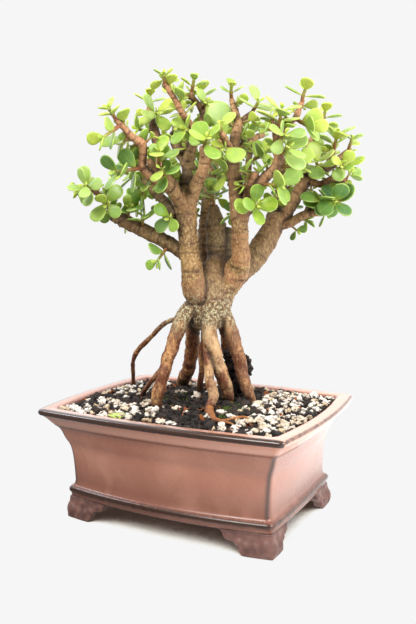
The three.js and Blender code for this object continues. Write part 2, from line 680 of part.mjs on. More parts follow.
// A twig with its leaves, from the bark of its limb outwards.
function spray(twig, thickened) {
  const stem = twigSolid(twig, 0, twig.length + 0.6, TWIG_RADIUS, 1.1, 4);
  const whole = join([stem, ...twig.leaves.map(leafSolid)]).subtract(thickened);
  const pieces = whole.decompose();
  return pieces.reduce((a, b) => (a.volume() > b.volume() ? a : b));
}

// Soil: fills the pot and rises to a low mound under the trunk.
function soilHeight(x, y) {
  const a = (x - 6) / 75;
  const b = (y - 5) / 55;
  const rise = SOIL_RISE * Math.exp(-(a * a + b * b));
  return SOIL_EDGE + rise + 0.5 * Math.sin(x * 0.19) * Math.cos(y * 0.23);
}

function soil() {
  const middle = RIM_WIDTH / 2;
  const bottom = FLOOR_TOP + SOIL_GAP;
  const sides = INNER_WALL.map(([inset, z]) => [inset + SOIL_GAP, Math.max(z, bottom)]);
  const top = [15, 25, 36, 50, 62, middle].map((inset) => [inset, SOIL_EDGE + 0.5]);
  const edge = [SOIL_EDGE_INSET, SOIL_EDGE];
  const profile = [[middle, bottom], ...sides.reverse(), edge, ...top];
  const block = squared(profile, SOIL_REACH);
  reshape(block, (p) => {
    if (p.z >= SOIL_EDGE) p.z = soilHeight(p.x, p.y);
  });
  const { length, width, thick } = SCREEN;
  const room = 2 * SCREEN_ROOM;
  const pocket = new THREE.BoxGeometry(length + room, width + room, 2 * (thick + room));
  pocket.translate(0, 0, bottom);
  const holes = Object.values(ROOTS).map((points) =>
    limb(points, { sides: rootSides(points), extra: ROOT_HOLE_GAP }),
  );
  return { block: solid(block), cuts: join([solid(pocket), ...holes]) };
}

// Grains of pumice and lava half sunk in the surface.
function grains() {
  const roll = dice(4181);
  const rootBones = bonesOf(ROOTS);
  const made = [];
  for (let tries = 0; made.length < GRAIN_COUNT && tries < 900; tries++) {
    const angle = roll() * 2 * Math.PI;
    const reach = Math.sqrt(roll());
    const x = 4 + 80 * reach * Math.cos(angle);
    const y = 3 + 54 * reach * Math.sin(angle);
    const size = 1.9 + 1.9 * roll();
    const z = soilHeight(x, y) + 0.15 * size;
    const at = new THREE.Vector3(x, y, z);
    const free = made.every((g) => g.at.distanceTo(at) > g.size + size + 0.6);
    const byLeaf = Math.hypot(x - FALLEN.x - 5, y - FALLEN.y - 3) < size + 9;
    if (!free || byLeaf || skeletonClearance(at, rootBones) < size + 1.6) continue;
    const stone = new THREE.IcosahedronGeometry(size, 0);
    stone.scale(1 + 0.3 * roll(), 1, 0.7 + 0.2 * roll());
    stone.rotateZ(roll() * 6).rotateX(roll() - 0.5);
    stone.translate(x, y, z);
    made.push({ at, size, stone: solid(stone) });
  }
  return made.map((g) => g.stone);
}

// Fallen leaf on the soil at the left front.
const FALLEN = { x: -44, y: -58, length: 14, turn: -0.15, lift: 0.8 };

function fallenLeaf() {
  const { x, y, length, turn } = FALLEN;
  const way = new THREE.Vector3(Math.cos(turn), Math.sin(turn), 0);
  const face = new THREE.Vector3(0, 0, 1);
  const across = way.clone().cross(face);
  const foot = new THREE.Vector3(x, y, soilHeight(x, y) + LEAF_THICK / 2 + FALLEN.lift);
  return leafSolid({ foot, way, face, across, size: length });
}

const twigs = growLeaves();
const group = new THREE.Group();
group.position.set(...POT_MIDDLE);
group.add(meshOf("pot", pot(), 0x5a4b50, 0.4));
group.add(meshOf("drain_screen", drainScreen(), 0x1c1d1c, 0.7));
const bed = soil();
const surface = join([bed.block, ...grains()]).subtract(bed.cuts);
group.add(meshOf("soil", surface, 0x4a4038, 0.95));
group.add(meshOf("trunk", wood(0), 0x8a6a4c, 0.85));
const thickened = wood(TWIG_GAP);
for (const twig of twigs)
  group.add(meshOf("spray_" + twig.name, spray(twig, thickened), 0x7fae3c, 0.45));
group.add(meshOf("fallen_leaf", fallenLeaf(), 0x9cb048, 0.55));

export default group;
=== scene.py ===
"""Dwarf jade bonsai on exposed roots in its footed rectangular pot.

Lengths are in millimetres in the pot's own frame until a piece is finished: the
origin is on the standing surface under the middle of the pot, +X runs along its
long side, -Y is its front and +Z is up.
"""

import math
import random

import bmesh
import bpy
import numpy as np
from mathutils import Matrix, Vector, noise


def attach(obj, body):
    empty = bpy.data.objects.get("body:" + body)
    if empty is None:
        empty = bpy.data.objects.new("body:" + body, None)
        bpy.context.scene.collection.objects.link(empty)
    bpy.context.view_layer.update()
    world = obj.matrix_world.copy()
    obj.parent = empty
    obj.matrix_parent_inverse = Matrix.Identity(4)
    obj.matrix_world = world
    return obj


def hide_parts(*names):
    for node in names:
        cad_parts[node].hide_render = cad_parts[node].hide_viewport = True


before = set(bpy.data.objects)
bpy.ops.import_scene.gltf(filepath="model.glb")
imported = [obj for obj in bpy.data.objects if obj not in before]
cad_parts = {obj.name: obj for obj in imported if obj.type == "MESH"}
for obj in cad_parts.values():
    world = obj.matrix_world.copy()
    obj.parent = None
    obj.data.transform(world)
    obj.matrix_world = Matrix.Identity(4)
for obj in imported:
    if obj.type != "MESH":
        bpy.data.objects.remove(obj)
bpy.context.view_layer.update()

bl_info = {
    "name": "Dwarf Jade Bonsai",
    "version": (1, 0, 0),
    "blender": (4, 5, 0),
    "location": "3D View > Sidebar > Bonsai",
    "description": "Builds a dwarf jade bonsai in its glazed pot",
    "category": "Add Mesh",
}

MM = 0.001
POT_MIDDLE = Vector((-2.0, 0.0, 0.0))
TO_PLACE = Matrix.Scale(MM, 4) @ Matrix.Translation(POT_MIDDLE)

# Pot: rim, bows and corners as in the solid; profiles are (inset from the rim, height).
RIM_LENGTH = 200.0
RIM_WIDTH = 146.0
RIM_BOWS = (4.6, 5.2)  # long sides, short sides
FOOT_BOWS = (7.6, 1.4)
FLARE_FROM = 25.0
FLARE_RISE = 57.0
CORNER_RADIUS = 5.0
SIDE_STEPS = 22
CORNER_STEPS = 6
FLOOR_TOP = 25.0
FLOOR_REACH = 40.0
DRAIN_RADIUS = 8.0
DRAIN_X = 46.0
UNDERSIDE = [(73, 17.5), (60, 17.5), (30, 17.5), (20, 17.4)]
BASE_BAND = [(17.4, 16.9), (16.4, 16.3), (15.9, 17.4), (15.8, 19.4)]
BASE_ROLL = [(15.1, 20.0), (14.7, 21.3), (14.9, 22.7), (15.9, 23.9), (17.2, 24.7), (18.0, 26.3)]
WALL = [(18.3, 28.5), (18.2, 32), (17.9, 40), (17.4, 48), (16.4, 55), (15.3, 58.4)]
LIP_COVE = [(14.4, 60.2), (13.3, 63), (12.2, 66.5), (11.0, 69.5), (9.6, 71.6)]
LIP_BAND = [(8.7, 72.3), (7.6, 73.8), (6.0, 76), (4.1, 78.6), (1.8, 81.0)]
RIM_ROLL = [(0.6, 81.6), (0.0, 82.6), (-0.1, 83.8), (0.3, 85.0), (1.2, 85.7), (2.4, 86.0)]
RIM_LEDGE = [(4.4, 86.0), (8.4, 85.8), (9.6, 85.4), (10.2, 84.6), (10.6, 83.2)]
INNER_WALL = [
    (11.2, 77), (15.5, 67), (21.5, 57), (24, 42), (24.6, 29), (27, 25), (50, 25), (73, 25)]
FOOT_INSET = 15.8
FOOT_LENGTH = 39.0
FOOT_RUN = 31.0
FOOT_HEIGHT = 16.8
FOOT_THICK = 8.0
FOOT_FLARE = 2.4
FOOT_TOE = 4.2
FOOT_SUNK = 0.9  # how far the plate lies behind the lobes
# Lobes of a foot: run from the corner, in from the face, height, three radii, lean.
FOOT_LOBES = [
    (3.0, 3.0, 6.0, 6.0, 6.0, 7.4, 0),
    (10.6, 2.8, 5.2, 3.5, 4.8, 6.0, 12),
    (17.0, 2.8, 5.8, 3.6, 4.6, 5.4, 16),
    (22.4, 3.0, 8.8, 4.4, 4.2, 3.6, 34),
    (14.0, 3.8, 12.2, 9.0, 4.0, 3.6, 0),
    (28.6, 3.6, 12.4, 6.4, 3.8, 2.6, -26),
]

# Soil
SOIL_EDGE = 81.5
SOIL_RISE = 5.5
MOUND_RISE = 4.0  # of the soil heaped among the roots
GRIT_EDGE = 11.8  # how far in from the rim grains may lie
MOSS_TUFTS = 1700
ROOTLETS = 16
CLUMP_STONES = 440
# Old soil that clings between the roots: x, y, z and radius along it.
CLUMPS = [
    [(20, 22, 86, 8), (23, 23, 94, 7), (26, 22, 101, 6.4), (28.5, 22, 107, 6), (29, 22, 113, 4.6),
     (26, 22, 119, 3), (23, 20, 125, 1.6)],
    [(16, 28, 84, 9), (15.5, 28, 92, 8), (14.5, 28, 102, 6.5), (13.5, 28, 109, 5.4),
     (12, 28, 116, 4), (11, 28, 121, 2.4)],
]
SURFACE_ROOTS = [
    [(22, -25, 89, 3.1), (25, -30, 87, 3.0), (29, -35, 86.6, 2.7), (33, -40, 86, 2.0),
     (38, -43, 86, 1.4), (42, -44, 86.2, 1.2), (46, -41, 86.6, 1.1), (49, -36, 87, 1.0),
     (53, -31, 86.8, 0.9), (57, -30, 85, 0.6)],
    [(41, -44, 86.2, 1.0), (45, -46, 86.2, 0.9), (50, -46, 85.6, 0.7), (54, -48, 84.4, 0.5)],
]

# Wood: x, y, z and radius along each root and limb.
ROOTS = {
    "rootLeft": [
        (-1, -6, 160, 7), (-6, -11, 153, 6.5), (-10, -16, 140, 5.5), (-14, -21, 123, 5),
        (-17, -26, 108, 4.5), (-20, -29, 93, 4.5), (-21, -29, 85, 4), (-21, -29, 78, 3.6)],
    "rootLeftSmall": [
        (-14, -22, 118, 3.5), (-25, -21, 108, 2.5), (-38, -13, 98, 2), (-50, -4, 86, 2),
        (-53, -2, 79, 1.6)],
    "rootWire": [
        (-2, -3, 158, 4), (-10, -5, 152, 2.2), (-27, -4, 146, 2), (-44, 1, 133, 2),
        (-61, 7, 120, 2.2), (-70, 14, 110, 1.8), (-80, 28, 96, 1.8), (-84, 34, 84, 1.8),
        (-85, 36, 77, 1.5)],
    "rootBackLeft": [
        (-2, 5, 156, 7), (-9, 8, 141, 6), (-16, 18, 122, 5.5), (-26, 29, 104, 5.5),
        (-43, 46, 86, 5), (-48, 51, 77, 4.2)],
    "rootInner": [
        (7, 1, 150, 4.5), (6, 0, 139, 3.5), (2, 2, 126, 3), (-1, 6, 109, 2.5),
        (-9, 15, 87, 2.2), (-11, 18, 79, 2)],
    "rootCentre": [
        (11, -6, 136, 3.5), (14, -11, 120, 3.5), (18, -16, 106, 3.8), (23, -20, 96, 3.8),
        (22, -26, 87, 3.2), (25, -31, 78, 2.8)],
    "rootFront": [
        (13, -2, 158, 7.5), (13, -7, 143, 6), (17, -7, 128, 5.2), (20, -4, 113, 5.2),
        (24, -1, 99, 5), (23, 4, 87, 4.6), (23, 6, 78, 4)],
    "rootRight": [
        (15, 7, 158, 7.5), (22, 11, 139, 6), (28, 12, 121, 5.2), (32, 12, 103, 4.6),
        (39, 13, 86, 3.8), (42, 14, 78, 3.2)],
    "rootBackRight": [
        (10, 16, 157, 7), (10, 25, 139, 4.8), (7, 36, 119, 4.5), (6, 46, 100, 4),
        (6, 51, 86, 3.6), (6, 52, 78, 3.2)],
}
LIMBS = {
    "trunk": [
        (6, 5, 143, 12), (6, 5, 155, 16), (7, 6, 166, 18), (8, 7, 176, 17.5), (9, 9, 185, 12)],
    "leftLeader": [
        (3, -4, 161, 7), (2, -9, 174, 9), (2, -12, 188, 8.2), (0, -12, 203, 7.2),
        (-1, -12, 217, 7.1), (-2, -12, 231, 7.9), (-2, -13, 241, 8.3)],
    "leftFork": [
        (-2, -12, 234, 7.5), (-6, -20, 245, 5.7), (-8, -29, 253, 4.9), (-9, -34, 259, 3.9)],
    "leftReach": [
        (-7, -24, 247, 3.7), (-12, -32, 252, 3.5), (-17, -39, 257, 3.4), (-19, -43, 263, 2.9),
        (-16, -46, 271, 2.9), (-14, -50, 277, 2.9), (-18, -56, 281, 2.5), (-21, -62, 287, 2.1),
        (-23, -67, 291, 1.9)],
    "leftKnob": [(-9, -30, 255, 3.5), (-11, -39, 261, 2.5), (-11, -47, 265, 2.5)],
    "midDark": [(-3, -10, 234, 7.5), (-4, -7, 250, 6), (-4, -3, 262, 5), (-5, -1, 279, 4.2)],
    "darkLeft": [(-4, -5, 264, 4.2), (-14, 3, 275, 4), (-24, 11, 285, 3.6), (-30, 19, 292, 3.1)],
    "darkRight": [(-4, -4, 269, 3.8), (0, -4, 278, 3.4), (5, -5, 286, 3.2), (6, -7, 291, 3)],
    "longRed": [
        (5, -7, 287, 2.6), (3, -14, 294, 2.4), (2, -20, 298, 2.2), (-1, -27, 309, 2),
        (-4, -35, 318, 1.7)],
    "straightRed": [(6, -6, 288, 2.6), (6, 0, 298, 2.1), (4, 6, 306, 2), (2, 8, 311, 1.9)],
    "straightSide": [(5, 3, 302, 2.1), (3, 0, 309, 2), (1, -5, 313, 2), (1, -6, 316, 1.9)],
    "rightFork": [
        (-2, -12, 234, 6.9), (10, -17, 250, 4.5), (17, -21, 258, 4.1), (21, -24, 266, 3.9),
        (23, -29, 273, 3.3)],
    "backSlim": [
        (2, 14, 170, 6), (-6, 23, 192, 4.8), (-10, 29, 209, 4.7), (-10, 35, 229, 5.1),
        (-11, 42, 249, 4.7), (-11, 49, 267, 4.3), (-13, 55, 279, 3.6), (-10, 63, 291, 2.9)],
    "centreStub": [
        (8, 10, 172, 10), (10, 14, 190, 8.4), (10, 15, 206, 8.5), (9, 16, 221, 8),
        (8, 15, 233, 7)],
    "rightLeader": [
        (14, 7, 170, 12), (28, 9, 186, 9.6), (34, 5, 196, 7.2), (35, 2, 207, 6.2),
        (36, 0, 218, 6.2), (35, -1, 231, 5.9), (35, -3, 246, 5.3), (34, -6, 261, 4.9),
        (35, -7, 276, 4.3)],
    "rightTop": [
        (35, -7, 273, 4.1), (35, -4, 284, 3.6), (36, -1, 292, 3.2), (33, 1, 300, 2.6),
        (29, 3, 310, 2.1)],
    "rightTopTwig": [(35, -1, 289, 2.4), (37, 6, 296, 2), (40, 13, 301, 1.8)],
    "oliveTwig": [(35, -6, 271, 3.2), (37, 9, 280, 2.5), (43, 26, 287, 2.2)],
    "shortRed": [(35, -9, 272, 3), (36, -22, 278, 2.4), (38, -31, 282, 2)],
    "candelabra": [
        (35, 2, 217, 4.8), (43, -4, 234, 4.2), (47, -5, 243, 4.1), (52, -7, 248, 3.9),
        (59, -6, 253, 3.7), (66, -4, 260, 3.6), (69, -5, 267, 3.5), (69, -7, 276, 3.4),
        (69, -9, 284, 3.2)],
    "candelabraStub": [(48, -6, 243, 3.5), (50, -9, 249, 3.3), (54, -12, 256, 2.4)],
    "candelabraLeft": [(69, -8, 282, 2.5), (69, -15, 288, 2)],
    "candelabraRight": [
        (69, -8, 281, 2.7), (74, -1, 289, 2.4), (78, 4, 294, 2.1), (79, 9, 302, 1.9),
        (80, 10, 304, 1.8)],
    "rightBough": [
        (13, 13, 174, 12), (24, 21, 186, 10.6), (32, 29, 194, 9.6), (39, 36, 206, 9),
        (43, 42, 217, 8), (46, 44, 224, 7)],
    "boughBack": [
        (42, 44, 215, 6.4), (42, 51, 231, 5.5), (44, 58, 243, 5), (43, 63, 257, 4.4),
        (44, 69, 270, 3.5)],
    "boughRight": [
        (45, 43, 219, 6), (53, 46, 228, 4.8), (58, 49, 237, 4.6), (63, 51, 247, 4.5),
        (68, 54, 254, 4.5), (75, 57, 260, 4), (83, 61, 264, 3.5), (89, 65, 269, 3),
        (95, 68, 275, 2.1)],
    "boughLow": [
        (46, 43, 219, 4.4), (58, 45, 222, 3.6), (67, 47, 227, 3.4), (74, 49, 229, 3),
        (80, 51, 229, 2.6), (87, 52, 233, 2.3), (93, 54, 236, 2.1)],
    "lowStub": [(68, 48, 226, 2.6), (71, 49, 233, 2.5)],
    "boughThin": [
        (65, 54, 250, 2.8), (63, 61, 264, 2.5), (63, 65, 276, 2.4), (66, 67, 285, 2.3),
        (71, 69, 292, 2.1), (75, 70, 297, 2)],
    "boughRed": [
        (69, 54, 254, 3), (79, 50, 250, 2.5), (86, 48, 252, 2.4), (93, 49, 257, 2.1),
        (97, 50, 261, 2)],
    "boughRedStub": [(88, 48, 253, 2), (95, 49, 252, 1.9), (99, 50, 252, 1.8)],
    "boughTwig": [(80, 60, 262, 2.6), (84, 59, 269, 2.1), (87, 58, 275, 1.8)],
    "leftArm": [
        (-2, -7, 197, 5.6), (-12, -7, 203, 5.6), (-23, -11, 210, 5.4), (-34, -15, 216, 5.2),
        (-44, -21, 222, 5.2), (-51, -27, 227, 5), (-55, -30, 229, 4.6)],
    "armTwig": [
        (-51, -28, 228, 2.8), (-54, -38, 237, 2.4), (-57, -46, 245, 2.1), (-59, -53, 248, 2)],
    "upperArm": [
        (-2, -11, 222, 5), (-16, -8, 232, 3.7), (-27, -4, 241, 3.5), (-37, -2, 248, 3.3),
        (-47, 1, 254, 3.1), (-55, 4, 260, 2.6)],
    "redMid": [
        (-8, -23, 249, 3.9), (-17, -17, 258, 3.6), (-25, -10, 267, 3.5), (-31, -3, 280, 3.5),
        (-36, 2, 292, 3.6), (-42, 7, 303, 3.1), (-47, 11, 311, 2.5)],
    "shadeStem": [
        (33, 5, 226, 4.5), (30, 22, 242, 3), (27, 34, 258, 2.5), (24, 42, 271, 2.4),
        (23, 49, 282, 2.2)],
}
# Limbs whose skin is drawn more closely than the skeleton that the leaves keep clear of.
FINER_LIMBS = {
    "heel": [(3.6, -9.6, 183, 8.0), (5.2, -10.6, 175.5, 8.1), (6.2, -10.6, 170, 6.8)],
    "stubShoulder": [
        (12, 17, 178, 8), (16.5, 18, 194, 6.2), (18, 18.5, 206, 5.2), (18, 18.5, 212, 4.2),
        (17.6, 18.5, 217, 2.8)],
    "centreStub": [
        (8, 10, 172, 10), (10, 14, 190, 8.4), (10, 15, 206, 8.6), (9, 16, 216, 7.9),
        (8, 15, 223, 7.6), (7.6, 15, 227, 6.3), (7.4, 14.6, 230.4, 4.7), (7.2, 14.2, 233, 4.2),
        (7, 14, 235.6, 3.4)],
}
# Limbs that end in a bare cut.
CUT_ENDS = ("centreStub", "leftKnob", "candelabraStub", "lowStub", "boughRedStub", "leftArm")
# How red and how dark grey the bark is at the limb's end: younger wood is redder.
BARK_TONES = {
    "leftReach": (0.75, 0.0), "leftKnob": (0.3, 0.2), "midDark": (0.0, 1.0),
    "darkLeft": (0.1, 0.85), "darkRight": (0.2, 0.7), "longRed": (1.0, 0.0), "straightRed": (0.7, 0.0),
    "straightSide": (0.6, 0.0), "backSlim": (0.1, 0.12), "centreStub": (0.0, 0.65),
    "stubShoulder": (0.0, 0.9),
    "rightTop": (0.2, 0.0), "rightTopTwig": (0.2, 0.1), "oliveTwig": (0.35, 0.0),
    "shortRed": (0.7, 0.0), "candelabra": (0.45, 0.0), "candelabraStub": (0.5, 0.0),
    "candelabraLeft": (0.9, 0.0), "candelabraRight": (0.9, 0.0), "boughBack": (0.0, 0.35),
    "boughRight": (0.2, 0.15), "boughLow": (0.2, 0.15), "boughThin": (0.0, 0.2),
    "boughRed": (1.0, 0.0), "boughRedStub": (1.0, 0.0), "leftArm": (0.0, 0.35),
    "armTwig": (0.8, 0.1), "upperArm": (0.0, 0.6), "redMid": (0.7, 0.0), "shadeStem": (0.0, 0.5),
    "rightBough": (0.25, 0.5), "rightFork": (0.1, 0.1),
    "trunk": (0.3, 0.5), "heel": (0.75, 0.45),
    # On the roots the second figure is how much of their bark is cream.
    "rootFront": (0.0, 0.75), "rootCentre": (0.0, 0.5), "rootRight": (0.0, 0.12),
}

# Leafy twigs: start on a limb, tip, pairs of leaves, length of the first pair and of the
# last, turn of the first pair about the twig, and lean of the leaves, in degrees.
TWIGS = {
    "armEnd": ((-59, -52, 247), (-55, -61, 249), 3, 15, 13, 100, 68),
    "armMiddle": ((-54, -40, 239), (-47, -48, 237), 2, 16, 14, 48, 72),
    "armTop": ((-46, -23, 224), (-42, -28, 232), 2, 13, 11, 10, 62),
    "armUnder": ((-18, -10, 207), (-22, -21, 195), 2, 14, 11, 90, 60),
    "armRed": ((-37, -17, 218), (-33, -23, 227), 2, 13, 11, 20, 55),
    "hangingLeft": ((-44, 0, 252), (-46, -8, 241), 3, 18, 13, 80, 40),
    "upperArmEnd": ((-51, 3, 258), (-56, -6, 261), 3, 15, 14, 60, 60),
    "leftMiddle": ((-19, -44, 261), (-30, -59, 258), 3, 16, 14, 90, 62),
    "reachEnd": ((-23, -67, 291), (-25, -71, 297), 2, 11, 9, 10, 60),
    "reachHanging": ((-22, -65, 288), (-28, -75, 280), 2, 14, 13, 60, 50),
    "reachLow": ((-19, -57, 283), (-27, -55, 277), 2, 19, 15, 60, 35),
    "reachBack": ((-15, -51, 277), (-26, -46, 276), 2, 15, 14, 80, 60),
    "redMidEnd": ((-47, 11, 311), (-45, 10, 321), 2, 14, 11, 10, 65),
    "redMidFront": ((-42, 8, 304), (-33, -1, 306), 3, 16, 15, 30, 72),
    "redMidLeft": ((-36, 2, 292), (-42, -10, 293), 3, 16, 14, 50, 60),
    "forkFront": ((-10, -36, 260), (-4, -44, 271), 3, 15, 14, 70, 68),
    "forkRound": ((-7, -24, 249), (-4, -37, 256), 3, 15, 13, 80, 72),
    "darkLeftEnd": ((-30, 19, 292), (-24, 9, 294), 3, 16, 14, 40, 72),
    "darkRightFront": ((5, -6, 287), (4, -17, 288), 2, 17, 14, -40, 70),
    "longRedEnd": ((-4, -35, 318), (-3, -37, 323), 1, 9, 8, 0, 62),
    "sideEnd": ((1, -6, 316), (3, -7, 322), 2, 10, 8, 0, 60),
    "sideLow": ((2, -2, 311), (-3, -11, 315), 2, 17, 15, 80, 60),
    "straightEnd": ((2, 8, 310), (2, 8, 316), 2, 12, 10, 20, 65),
    "heroTwig": ((4, 6, 307), (12, -4, 309), 1, 24, 11, -50, 80),
    "forkEnd": ((23, -29, 272), (30, -37, 279), 2, 17, 15, -80, 74),
    "darkBack": ((-5, -2, 267), (-5, 11, 273), 3, 15, 14, 80, 65),
    "darkBackLow": ((-4, -7, 248), (-16, 2, 257), 3, 14, 14, 40, 62),
    "slimLow": ((-11, 42, 251), (-1, 41, 258), 3, 16, 14, 50, 65),
    "slimEnd": ((-10, 63, 291), (-7, 67, 299), 3, 14, 12, 30, 62),
    "slimFar": ((-11, 37, 235), (-24, 48, 247), 3, 16, 15, 30, 62),
    "stubTop": ((8, 15, 230), (9, 9, 241), 3, 15, 14, 0, 65),
    "upperArmFront": ((-12, -9, 229), (-10, -22, 227), 2, 16, 13, 40, 70),
    "rightTopEnd": ((29, 3, 310), (30, 1, 315), 2, 10, 9, 10, 62),
    "topTwigEnd": ((40, 13, 301), (45, 12, 307), 2, 16, 14, -8, 78),
    "shadeUp": ((23, 49, 282), (23, 50, 291), 3, 16, 15, 20, 68),
    "shadeMiddle": ((25, 42, 270), (35, 42, 273), 3, 17, 16, 60, 66),
    "leaderFront": ((34, -7, 272), (36, -19, 273), 1, 18, 11, -35, 76),
    "candelabraNode": ((43, -3, 233), (52, -10, 234), 3, 16, 14, 0, 74),
    "candelabraTwig": ((54, -7, 249), (68, -7, 247), 3, 17, 16, 60, 64),
    "candelabraTop": ((69, -9, 283), (72, -10, 294), 3, 16, 14, 0, 72),
    "candelabraFront": ((69, -8, 277), (78, -16, 280), 2, 16, 14, 80, 70),
    "candelabraLow": ((69, -5, 267), (78, -13, 271), 3, 19, 15, -60, 72),
    "candelabraMiddle": ((66, -4, 260), (81, 1, 260), 3, 16, 15, 80, 64),
    "candelabraRightEnd": ((80, 10, 304), (82, 10, 311), 2, 15, 13, 0, 72),
    "candelabraRightLow": ((77, 4, 293), (85, 3, 288), 3, 16, 14, 60, 50),
    "thinEnd": ((75, 70, 297), (76, 70, 305), 2, 14, 12, 0, 72),
    "boughTwigEnd": ((87, 58, 275), (89, 57, 283), 3, 17, 15, 10, 66),
    "boughFront": ((77, 58, 261), (78, 46, 266), 3, 17, 16, 10, 72),
    "boughEnd": ((95, 68, 275), (97, 68, 281), 2, 12, 9, 60, 60),
    "boughEndLow": ((91, 66, 271), (98, 63, 263), 2, 15, 11, 80, 50),
    "redEnd": ((97, 50, 261), (99, 44, 262), 2, 13, 10, 60, 62),
    "lowNode": ((93, 54, 236), (94, 44, 237), 3, 17, 16, 45, 76),
    "lowSide": ((83, 52, 231), (83, 42, 237), 3, 16, 15, -10, 70),
    "backEnd": ((44, 69, 270), (44, 70, 280), 3, 14, 12, 30, 66),
    "backMiddle": ((44, 58, 244), (47, 69, 250), 3, 15, 14, 30, 66),
}
TWIG_RADIUS = 1.3
TWIG_CLEARANCE = 0.5
FOOT_OUT = 0.45
LEAF_SPACING = 3.5
LEAF_TO_WOOD = 1.9
# Half-width of a leaf as a share of its length, and the twigs with broad leaves.
SLENDER = 0.365
BROAD = 0.44
BROAD_LEAVED = ("heroTwig", "lowNode", "lowSide")
LEAF_ROUND = 20
LEAF_RINGS = 7
CROWN_MIDDLE = np.array((12.0, 14.0, 205.0))
TEST_SPOTS = np.array([
    (0.3, 0), (0.55, 0.24), (0.55, -0.24), (0.55, 0),
    (0.82, 0.24), (0.82, -0.24), (0.82, 0), (1, 0)])
BIG_LEAF_FACES = np.array((0.467, -0.868, -0.1))
# Young shoots: limbs up to this radius, from this height, gaps along the limb, sizes.
SHOOT_ON = 5.2
SHOOT_FROM = 221.0
SHOOT_GAPS = (4.0, 8.5)
SHOOT_FACES = 0.1  # they keep to the sides and the back, so that the limbs show
TO_VIEWER = np.array((0.47, -0.86, 0.0))
SHOOT_LEAVES = (8.0, 13.5)
SHOOT_SPACING = 2.3
SHOOT_STEP = 2.4
SHOOT_STEM = 0.72
# Leaves whose colour stands out: how blue-green (0 lime, 1 deep) and how pale.
TWIG_TONES = {
    "heroTwig": (0.6, 0.55), "lowNode": (0.95, 0.1), "lowSide": (0.9, 0.15),
    "armMiddle": (0.45, 0.3), "armEnd": (0.55, 0.5), "hangingLeft": (0.55, 0.1),
    "leftMiddle": (0.7, 0.25), "reachBack": (0.7, 0.3), "candelabraLow": (0.6, 0.55),
    "candelabraFront": (0.5, 0.6), "forkEnd": (0.5, 0.2), "topTwigEnd": (0.3, 0.7),
    "candelabraNode": (0.5, 0.1), "boughFront": (0.35, 0.4), "candelabraTop": (0.2, 0.5),
}
FALLEN = {"x": -44, "y": -57.5, "length": 15, "turn": -0.15, "lift": 1.5}


def srgb(red, green, blue):
    """An sRGB colour from 0 to 255, as the linear values that a shader takes."""
    def linear(value):
        value /= 255
        return value / 12.92 if value <= 0.04045 else ((value + 0.055) / 1.055) ** 2.4

    return (linear(red), linear(green), linear(blue), 1.0)


